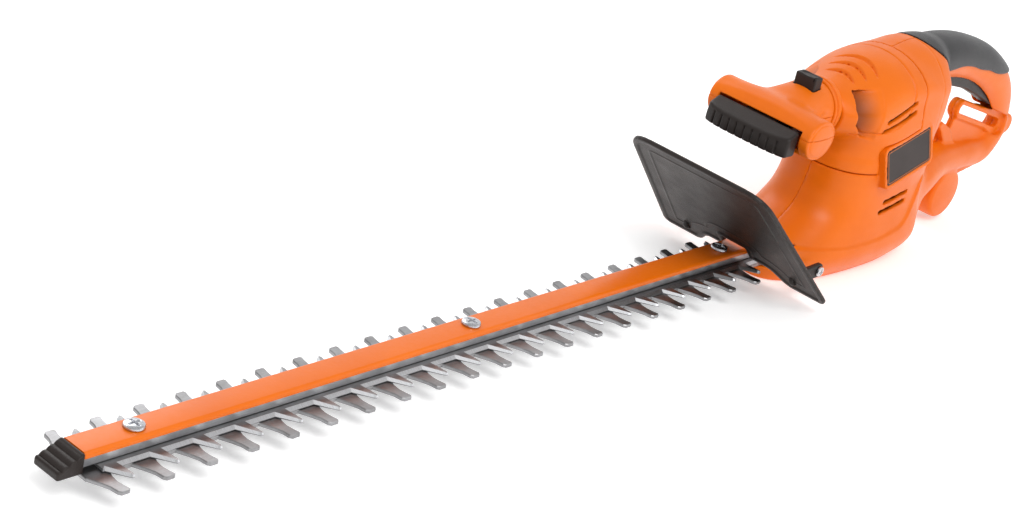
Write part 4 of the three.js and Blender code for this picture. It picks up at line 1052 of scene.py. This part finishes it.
long_ring = toothed_outline(lower_low[0], LONG_TOOTH, [0.3] * len(LONG_TOOTH), lower_high[0])
long_ring = with_yoke(*long_ring, lower_high[0])
lower_blade = blade("lower_blade_steel", *long_ring, 0.45, lower_low[2], lower_high[2])
short_ring = toothed_outline(upper_low[0], SHORT_TOOTH, [2.2, 1.0, 0.5, 0.5, 1.0, 2.2], upper_high[0])
short_ring = with_yoke(*short_ring, upper_high[0])
upper_blade = blade("upper_blade_steel", *short_ring, 1.3, upper_low[2], upper_high[2])

# %% [markdown]
# The cover strip is folded from thin sheet: one cross-section with round shoulders, carried along x.
# Its ends are drawn in a little, which breaks their edges.

# %% Cover strip
low, high = box_mm("cover_strip")
SHEET = 1.2


def channel(half, depth, sheet, radius):
    """Cross-section of a folded strip, seen along x: outer line with round shoulders, then the inner."""
    turn = np.linspace(0, np.pi / 2, 6)
    arc = np.stack([np.cos(turn), np.sin(turn)], axis=1)
    outer = np.array([half - radius, -radius]) + radius * arc
    inner = np.array([half - radius, -radius]) + (radius - sheet) * arc
    right_outer = np.concatenate([[[half, -depth]], outer])
    right_inner = np.concatenate([[[half - sheet, -depth]], inner])
    left_outer, left_inner = (right_outer * [-1, 1])[::-1], right_inner * [-1, 1]
    return np.concatenate([right_outer, left_outer, left_inner, right_inner[::-1]])


section = channel(high[1], high[2] - low[2], SHEET, 1.9)
stations = np.array([low[0], low[0] + 0.4, high[0] - 0.4, high[0]])
shrink = np.array([0.97, 1, 1, 0.97])
rings = [np.column_stack([np.full(len(section), x), section * [s, 1]]) for x, s in zip(stations, shrink)]
count = len(section)
i = np.arange(count)
j = (i + 1) % count
sides = [np.stack([i, j, j + count, i + count], axis=1) + k * count for k in range(len(rings) - 1)]
faces = np.concatenate(sides).tolist()
ends = [i[::-1].tolist(), (i + count * (len(rings) - 1)).tolist()]
strip = piece("strip_cover", np.concatenate(rings) + [0, 0, high[2]], faces + ends, 30)

# %% [markdown]
# Eight screws show, and one function turns them all. A profile is carried round the axis as a grid,
# and the grid sinks into the head where it lies on an arm of the cross.

# %% Screws with a cross recess


def screw(name, low, high, axis, sign, head_depth, shank):
    """A turned screw: its profile goes from the middle of the head out, down and in along the shank.
    The head is a shallow dome, r = R at the rim, and the recess is where |a| or |b| is small."""
    middle, spread = (low + high) / 2, (high - low) / 2
    across = [k for k in range(3) if k != axis]
    radius = spread[across[0]]
    top = high[axis] if sign > 0 else low[axis]
    bottom = low[axis] if sign > 0 else high[axis]
    length = abs(top - bottom)
    head = [(radius * s, -0.34 * head_depth * s ** 3) for s in np.linspace(0.03, 0.94, 16)]
    profile = head + [(radius, -0.6 * head_depth), (radius, -0.95 * head_depth), (radius - 0.2, -head_depth)]
    if length > head_depth + 0.5:
        profile += [(shank, -head_depth), (shank, -length + 0.4), (shank - 0.4, -length)]
    profile = np.array(profile)
    turn = np.linspace(0, 2 * np.pi, 64, endpoint=False)
    r, t = profile[:, 0][:, None], turn[None, :]
    a, b = r * np.cos(t), r * np.sin(t)
    depth = profile[:, 1][:, None] + 0 * t
    arm = np.minimum(np.abs(a), np.abs(b))
    cross = step_up(0.12 * radius - arm, 0.12) * step_up(0.6 * radius - r, 0.4)
    on_top = (np.arange(len(profile)) < len(head))[:, None]
    depth = depth - 0.55 * head_depth * cross * on_top
    grid = np.zeros(a.shape + (3,))
    grid[..., across[0]] = middle[across[0]] + a
    grid[..., across[1]] = middle[across[1]] + b
    grid[..., axis] = top + sign * depth
    points = grid.reshape(-1, 3)
    rows, columns = a.shape
    i, j = np.meshgrid(np.arange(rows - 1), np.arange(columns), indexing="ij")
    corner = (i * columns + j).ravel()
    right = (i * columns + (j + 1) % columns).ravel()
    quads = np.stack([corner, corner + columns, right + columns, right], axis=1)
    caps = [list(range(columns)), list(range((rows - 1) * columns, rows * columns))[::-1]]
    if (sign > 0) == (axis == 1):
        quads, caps = quads[:, ::-1], [c[::-1] for c in caps]
    return piece(name, points, quads.tolist() + caps, 35)


screws = []


def add_screw(name, node, number, *shape):
    """Makes one screw on its CAD node's box, and notes the node that it stands for."""
    node = f"{node}_{number}"
    screws.append((screw(f"{name}_{number}", *box_mm(node), *shape), node))


for number in (1, 2, 3):
    add_screw("strip_screw", "blade_screw", number, 2, 1, 2.4, 2.5)
    add_screw("case_screw", "housing_screw", number, 1, 1, 2.0, 2.0)
for number, sign in ((1, -1), (2, 1)):
    add_screw("ear_screw", "guard_screw", number, 1, sign, 1.8, 1.5)

# %% [markdown]
# ## Plain turned and stamped pieces
#
# What is simple on the real tool keeps the CAD model's own shape. A copy is merged, because the packed
# mesh is loose triangles, and a fine bevel breaks its edges so that they catch the light.

# %% Refined copies


def refined(node, width, crease=30):
    """A merged copy of a CAD node with its edges broken by a two-step bevel."""
    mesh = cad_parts[node].data.copy()
    mesh.materials.clear()
    shown = bpy.data.objects.new(f"{node}_made", mesh)
    bpy.context.scene.collection.objects.link(shown)
    work = bmesh.new()
    work.from_mesh(mesh)
    bmesh.ops.remove_doubles(work, verts=work.verts, dist=1e-6)
    bmesh.ops.dissolve_limit(work, angle_limit=math.radians(1), verts=work.verts, edges=work.edges)
    work.to_mesh(mesh)
    work.free()
    mesh.shade_smooth()
    mesh.set_sharp_from_angle(angle=math.radians(crease))
    bevel = shown.modifiers.new("edges", "BEVEL")
    bevel.width, bevel.segments, bevel.limit_method = width * MM, 2, "ANGLE"
    bevel.angle_limit = math.radians(crease)
    bevel.use_clamp_overlap = True
    return shown


REFINED = {
    "support_bar": 0.4, "base_cover": 0.6, "power_inlet": 0.6, "inlet_prong_1": 0.25, "inlet_prong_2": 0.25,
    "blade_nut_1": 0.3, "blade_nut_2": 0.3, "blade_nut_3": 0.3,
}
plain = {node: refined(node, width) for node, width in REFINED.items()}

# %% [markdown]
# ## Finishes
#
# Every finish is made of nodes that read the object's own place in space, in metres, so that a grain of
# half a millimetre is the same on a big shell and on a small button. Moulded plastic is never one flat
# colour: it has a spark-eroded grain, slow changes of gloss where it cooled, and light scuffs. Steel is
# brushed, so its noise is stretched along the stroke of the belt.

# %% Node helpers


def linear(red, green, blue):
    """A colour of 0 to 255 as it looks on a screen, turned into the linear light that shaders use."""
    values = np.array([red, green, blue]) / 255
    light = np.where(values <= 0.04045, values / 12.92, ((values + 0.055) / 1.055) ** 2.4)
    return (*light.tolist(), 1.0)


def add_node(tree, kind, inputs, **settings):
    """A node with its settings, and each input either a number or another node's output."""
    node = tree.nodes.new(kind)
    for key, value in settings.items():
        setattr(node, key, value)
    for key, value in inputs.items():
        if isinstance(value, bpy.types.NodeSocket):
            tree.links.new(value, node.inputs[key])
        else:
            node.inputs[key].default_value = value
    return node


def new_finish(name, **fixed):
    """An empty material with its shader; the fixed values go straight on the shader."""
    material = bpy.data.materials.new(name)
    material.use_nodes = True
    tree = material.node_tree
    tree.nodes.clear()
    shader = add_node(tree, "ShaderNodeBsdfPrincipled", fixed)
    output = tree.nodes.new("ShaderNodeOutputMaterial")
    tree.links.new(shader.outputs["BSDF"], output.inputs["Surface"])
    return material, tree, shader


def place_in(tree, stretch=(1, 1, 1)):
    """The object's own coordinates, stretched."""
    place = tree.nodes.new("ShaderNodeTexCoord").outputs["Object"]
    return add_node(tree, "ShaderNodeMapping", {"Vector": place, "Scale": stretch}).outputs["Vector"]


def noise(tree, place, grains_per_metre, detail=2.0, roughness=0.5):
    """Fractal noise with so many grains in a metre."""
    inputs = {"Vector": place, "Scale": grains_per_metre, "Detail": detail, "Roughness": roughness}
    return add_node(tree, "ShaderNodeTexNoise", inputs).outputs["Fac"]


def span_to(tree, value, low, high, to_low, to_high):
    """A value carried from one range into another, and held there."""
    inputs = {"Value": value, "From Min": low, "From Max": high, "To Min": to_low, "To Max": to_high}
    return add_node(tree, "ShaderNodeMapRange", inputs).outputs["Result"]


def blend(tree, share, first, second):
    """A mix of two colours."""
    node = add_node(tree, "ShaderNodeMix", {0: share, 6: first, 7: second}, data_type="RGBA")
    return node.outputs[2]


def arithmetic(tree, operation, first, second):
    """Two values added, multiplied or compared."""
    node = add_node(tree, "ShaderNodeMath", {0: first, 1: second}, operation=operation)
    return node.outputs[0]


def relief_on(tree, shader, height, depth):
    """Bump: the height's slope turned into a tilt of the normal, for a depth in metres."""
    bump = add_node(tree, "ShaderNodeBump", {"Height": height, "Distance": depth, "Strength": 1.0})
    tree.links.new(bump.outputs["Normal"], shader.inputs["Normal"])


# %% Moulded plastics


def moulded(name, colour, shade, gloss, grain, depth, scuffs=0.5, **fixed):
    """Satin plastic: eroded grain, slow changes of tone and gloss, fine pale scuffs, painted shade in the
    pocket.
    """
    material, tree, shader = new_finish(name, **fixed)
    place = place_in(tree)
    slow = noise(tree, place, 9, 3)
    cloud = noise(tree, place, 60, 4, 0.6)
    slow_tone, cloud_tone = span_to(tree, slow, 0.3, 0.7, 0, 0.6), span_to(tree, cloud, 0.3, 0.7, 0, 0.4)
    tone = arithmetic(tree, "ADD", slow_tone, cloud_tone)
    colours = blend(tree, tone, colour, shade)
    streaks = noise(tree, place_in(tree, (160, 900, 520)), 1, 5, 0.7)
    scuff = span_to(tree, streaks, 0.66, 0.74, 0, scuffs)
    pale = tuple(min(1, c * 1.25 + 0.03) for c in colour[:3]) + (1,)
    colours = blend(tree, scuff, colours, pale)
    # Painted shade: the point attribute darkens the cap's intake pocket to dark brown, where the deep recess
    # lies in shadow.
    pocket_painted_shade = add_node(tree, "ShaderNodeAttribute", {}, attribute_name="pocket_painted_shade").outputs["Fac"]
    tree.links.new(blend(tree, pocket_painted_shade, colours, linear(112, 50, 16)), shader.inputs["Base Color"])
    rough = span_to(tree, cloud, 0.3, 0.7, gloss - 0.05, gloss + 0.06)
    rough = arithmetic(tree, "ADD", rough, arithmetic(tree, "MULTIPLY", scuff, 0.1))
    tree.links.new(rough, shader.inputs["Roughness"])
    pits = add_node(tree, "ShaderNodeTexVoronoi", {"Vector": place, "Scale": grain}).outputs["Distance"]
    height = arithmetic(tree, "ADD", pits, noise(tree, place, grain * 1.7, 2))
    relief_on(tree, shader, height, depth)
    return material


orange = moulded(
    "orange_plastic", linear(233, 112, 6), linear(223, 103, 4), 0.38, 1500, 0.00004, 0.3,
    **{"Coat Weight": 0.05, "Coat Roughness": 0.25, "IOR": 1.5, "Specular IOR Level": 0.25},
)
black = moulded(
    "black_plastic", linear(42, 35, 32), linear(36, 30, 28), 0.42, 1400, 0.00006, 0.35,
    **{"Coat Weight": 0.03, "Coat Roughness": 0.3, "IOR": 1.5, "Specular IOR Level": 0.25},
)
badge_face = moulded(
    "badge_plastic", linear(50, 38, 34), linear(44, 34, 31), 0.34, 2400, 0.00001, 0.2,
    **{"Specular IOR Level": 0.25},
)

# %% Soft grip
rubber, tree, shader = new_finish(
    "soft_grip", **{"Sheen Weight": 0.12, "Sheen Roughness": 0.4, "IOR": 1.46, "Specular IOR Level": 0.4},
)
place = place_in(tree)
dust = noise(tree, place, 45, 5, 0.65)
speck = noise(tree, place, 900, 2)
share = arithmetic(
    tree, "MULTIPLY", span_to(tree, dust, 0.35, 0.7, 0, 1), span_to(tree, speck, 0.35, 0.65, 0.4, 1),
)
tree.links.new(blend(tree, share, linear(38, 37, 39), linear(52, 51, 53)), shader.inputs["Base Color"])
tree.links.new(span_to(tree, dust, 0.3, 0.7, 0.4, 0.52), shader.inputs["Roughness"])
relief_on(tree, shader, noise(tree, place, 2200, 3, 0.7), 0.00012)

# %% [markdown]
# Metals have no colour of their own apart from their reflection, so the marks of the tool that worked
# them make the look. One function gives them all, with the marks' stretch as its main value.

# %% Metals


def metal(name, colour, shade, gloss, stretch, depth):
    """Worked metal: fine marks stretched along the tool's stroke, and darker blooms between them."""
    material, tree, shader = new_finish(name, Metallic=1.0)
    marks = noise(tree, place_in(tree, stretch), 1, 4, 0.65)
    bloom = noise(tree, place_in(tree), 70, 5, 0.6)
    share = span_to(tree, arithmetic(tree, "MULTIPLY", marks, bloom), 0.15, 0.42, 0, 1)
    base = blend(tree, share, shade, colour)
    spots = span_to(tree, noise(tree, place_in(tree), 420, 3), 0.55, 0.75, 0, 0.35)
    dull = tuple(c * 0.62 for c in colour[:3]) + (1,)
    tree.links.new(blend(tree, spots, base, dull), shader.inputs["Base Color"])
    tree.links.new(span_to(tree, marks, 0.25, 0.75, gloss + 0.1, gloss - 0.06), shader.inputs["Roughness"])
    relief_on(tree, shader, marks, depth)
    return material


FINE_TURNING = (900, 900, 900)
DRAWN = (60, 2600, 2600)
aluminium = metal("bar_aluminium", linear(205, 206, 208), linear(168, 169, 172), 0.34, DRAWN, 0.00003)
zinc = metal("zinc", linear(216, 217, 220), linear(172, 174, 180), 0.24, FINE_TURNING, 0.000012)
copper = metal("copper", linear(198, 108, 62), linear(140, 66, 34), 0.32, (500, 500, 5200), 0.00016)
brass = metal("brass", linear(214, 178, 104), linear(170, 132, 66), 0.28, FINE_TURNING, 0.00002)
cast = metal("cast_aluminium", linear(176, 177, 178), linear(138, 139, 141), 0.5, (1100, 1100, 1100), 0.00012)
core = metal("core_steel", linear(122, 121, 122), linear(76, 76, 78), 0.42, (200, 200, 2000), 0.0002)
bronze = metal("badge_border", linear(196, 122, 78), linear(160, 92, 54), 0.3, FINE_TURNING, 0.00001)

# %% Blade steel
steel, tree, shader = new_finish("blade_steel", Metallic=1.0)
ground = add_node(tree, "ShaderNodeAttribute", {}, attribute_name="ground").outputs["Fac"]
along_marks = noise(tree, place_in(tree, (45, 2300, 2300)), 1, 4, 0.65)
across_marks = noise(tree, place_in(tree, (3600, 70, 400)), 1, 3, 0.6)
picked = add_node(tree, "ShaderNodeMix", {0: ground, 2: along_marks, 3: across_marks}).outputs[0]
bloom = noise(tree, place_in(tree), 55, 5, 0.65)
plain_steel = blend(tree, span_to(tree, bloom, 0.35, 0.7, 0, 1), linear(164, 164, 166), linear(134, 133, 134))
colours = blend(tree, ground, plain_steel, linear(222, 223, 226))
tree.links.new(blend(tree, span_to(tree, picked, 0.35, 0.65, 0.3, 0), colours, linear(120, 118, 117)),
               shader.inputs["Base Color"])
tree.links.new(span_to(tree, picked, 0.25, 0.75, 0.42, 0.26), shader.inputs["Roughness"])
relief_on(tree, shader, picked, 0.00003)

# %% Painted steel and carbon
paint, tree, shader = new_finish(
    "orange_steel", **{"Coat Weight": 0.12, "Coat Roughness": 0.22, "Specular IOR Level": 0.25},
)
place = place_in(tree)
peel = noise(tree, place, 420, 2)
rub = span_to(tree, noise(tree, place_in(tree, (40, 600, 600)), 1, 5, 0.7), 0.6, 0.78, 0, 0.4)
tone = span_to(tree, noise(tree, place, 14, 4), 0.3, 0.7, 0, 1)
base = blend(tree, tone, linear(232, 112, 10), linear(222, 103, 7))
tree.links.new(blend(tree, rub, base, linear(228, 128, 40)), shader.inputs["Base Color"])
tree.links.new(span_to(tree, peel, 0.3, 0.7, 0.3, 0.4), shader.inputs["Roughness"])
relief_on(tree, shader, peel, 0.00005)

carbon, tree, shader = new_finish("carbon", IOR=1.6)
soot = noise(tree, place_in(tree), 1300, 4, 0.7)
tree.links.new(blend(tree, soot, linear(38, 38, 40), linear(70, 70, 73)), shader.inputs["Base Color"])
tree.links.new(span_to(tree, soot, 0.3, 0.7, 0.45, 0.62), shader.inputs["Roughness"])
relief_on(tree, shader, soot, 0.0001)
print("finishes", len(bpy.data.materials))

# %% [markdown]
# ## Putting the pieces on their bodies
#
# Each finished piece rides on the body that moves it, takes its material, and hides the CAD node that it
# stands for.
# What the housing hides keeps the CAD model's own shape, with a finish.

# %% Bodies and finishes
HOUSING = "housing"
finish_piece(motor_cap, HOUSING, orange, "orange_plastic", "motor_cap")
for side in ("left", "right"):
    finish_piece(halves[side], HOUSING, orange, "orange_plastic", f"lower_housing_{side}")
for side in ("upper", "lower"):
    finish_piece(t_pieces[side], HOUSING, orange, "orange_plastic", f"front_handle_{side}")
finish_piece(collar, HOUSING, orange, "orange_plastic", "collar_ring")
finish_piece(lever, "front_lever", black, "black_plastic", "front_lever")
finish_piece(button, "lock_button", black, "black_plastic", "lock_button")
finish_piece(spring, HOUSING, zinc, "zinc", "button_spring")
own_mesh(spring)
finish_piece(trigger, "rear_trigger", black, "black_plastic", "rear_trigger")
finish_piece(grip, HOUSING, rubber, "soft_grip", "grip_cover")
finish_piece(guard, HOUSING, black, "black_plastic", "guard")
for ear in ears:
    finish_piece(ear, HOUSING, black, "black_plastic")
finish_piece(nose, HOUSING, black, "black_plastic", "nose")
finish_piece(badge, HOUSING, badge_face, "black_plastic", "badge_plate")
finish_piece(border, HOUSING, bronze, "copper")
finish_piece(lower_blade, "lower_blade", steel, "blade_steel", "lower_blade")
finish_piece(upper_blade, "upper_blade", steel, "blade_steel", "upper_blade")
finish_piece(strip, HOUSING, paint, "orange_steel", "cover_strip")
for shown, node in screws:
    finish_piece(shown, HOUSING, zinc, "zinc", node)
PLAIN_FINISH = {
    "support_bar": (aluminium, "bar_aluminium"), "base_cover": (black, "black_plastic"),
    "power_inlet": (black, "black_plastic"),
    "inlet_prong_1": (brass, "brass"), "inlet_prong_2": (brass, "brass"),
}
for node, shown in plain.items():
    material, slot = PLAIN_FINISH.get(node, (zinc, "zinc"))
    finish_piece(shown, HOUSING, material, slot, node)

# %% Inner pieces
INNER = {
    "armature_winding": copper, "commutator": copper, "field_winding_top": copper,
    "field_winding_bottom": copper, "brush_holder_left": brass, "brush_holder_right": brass,
    "gear_case": cast, "armature_core": core, "field_core": core, "brush_left": carbon,
    "brush_right": carbon, "cooling_fan": black, "bearing_plate": black, "rear_switch": black,
    "front_switch": black,
}
shown_nodes = {n for n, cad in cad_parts.items() if not cad.hide_render}
for node in sorted(shown_nodes):
    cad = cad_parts[node]
    for place in cad.material_slots:
        place.material = INNER.get(node, zinc)
print("inner pieces", len(shown_nodes), sorted(shown_nodes))

# %% [markdown]
# ## Studio
#
# A pale floor that runs up into a pale backdrop, one large soft light above and to the left of the
# camera, one low fill, and a white sky give even light with soft reflections along the rounded shells.

# %% Floor and lights
mesh = bpy.data.meshes.new("studio_floor")
span, rise, rounds = 6.0, 4.0, 12
turn = np.linspace(0, math.pi / 2, rounds)
profile = np.concatenate([
    [[-span, 0]],
    np.stack([2.4 + 1.2 * np.sin(turn), 1.2 - 1.2 * np.cos(turn)], axis=1),
    [[3.6, rise]],
])
back = np.array([math.cos(math.radians(36.58)), math.sin(math.radians(36.58))])
side = np.array([-back[1], back[0]])
rows = [np.column_stack([profile[:, :1] * back + s * side, profile[:, 1]]) for s in (-span, span)]
count = len(profile)
quads = [[i, i + 1, i + 1 + count, i + count] for i in range(count - 1)]
mesh.from_pydata(np.concatenate(rows).tolist(), [], quads)
mesh.shade_smooth()
floor = bpy.data.objects.new("studio_floor", mesh)
bpy.context.scene.collection.objects.link(floor)
paper, tree, shader = new_finish(
    "studio_paper", **{"IOR": 1.3, "Emission Color": (1, 1, 1, 1), "Emission Strength": 0.3},
)
fibre = noise(tree, place_in(tree), 60, 4)
tree.links.new(blend(tree, fibre, linear(246, 246, 246), linear(250, 250, 250)), shader.inputs["Base Color"])
shader.inputs["Roughness"].default_value = 0.9
mesh.materials.append(paper)
floor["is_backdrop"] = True

MIDDLE = Vector(((cad_low[0] + cad_high[0]) / 2, 0, 0.07))


def soft_light(name, place, size, power):
    """A square area light that looks at the middle of the tool."""
    lamp = bpy.data.lights.new(name, "AREA")
    lamp.shape, lamp.size, lamp.energy = "SQUARE", size, power
    shown = bpy.data.objects.new(name, lamp)
    facing = (MIDDLE - Vector(place)).to_track_quat("-Z", "Y").to_matrix().to_4x4()
    shown.matrix_world = Matrix.Translation(place) @ facing
    bpy.context.scene.collection.objects.link(shown)


soft_light("key", (-0.9, -1.2, 1.7), 1.0, 24)
soft_light("fill", (1.0, -1.6, 0.7), 1.2, 5)
soft_light("rim", (0.3, 1.7, 1.4), 1.2, 14)
world = bpy.data.worlds.new("sky")
world.use_nodes = True
world.node_tree.nodes["Background"].inputs["Color"].default_value = (1, 1, 1, 1)
world.node_tree.nodes["Background"].inputs["Strength"].default_value = 0.58
bpy.context.scene.world = world
bpy.context.scene.view_settings.view_transform = "Standard"

# %% [markdown]
# ## Camera
#
# The camera stands in front of the near side, looks down along the tool and is rolled, so that the
# blades run from the lower left to the handle at the right.

# %% Camera
azimuth, elevation, roll = (math.radians(v) for v in (-53.42, 24.22, 13.53))
ahead = np.array([
    -math.sin(azimuth) * math.cos(elevation), math.cos(azimuth) * math.cos(elevation), -math.sin(elevation),
])
level = np.array([math.cos(azimuth), math.sin(azimuth), 0])
above = np.cross(level, ahead)
right = level * math.cos(roll) + above * math.sin(roll)
up = np.cross(right, ahead)
lens = bpy.data.cameras.new("camera")
lens.sensor_width, lens.lens = 36, 74.53
lens.clip_start = 0.02
camera = bpy.data.objects.new("camera", lens)
turned = Matrix([[right[k], up[k], -ahead[k]] for k in range(3)]).to_4x4()
camera.matrix_world = Matrix.Translation((-1.180, -0.6469, 0.5508)) @ turned
bpy.context.scene.collection.objects.link(camera)
bpy.context.scene.camera = camera

# %% [markdown]
# The last cell prints the size of the finished tool beside that of the imported model.

# %% Size and finish
bpy.context.view_layer.update()
low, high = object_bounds()
print("cad", [round(v, 4) for v in (*cad_low, *cad_high)])
print("visual", [round(v, 4) for v in (*low, *high)])
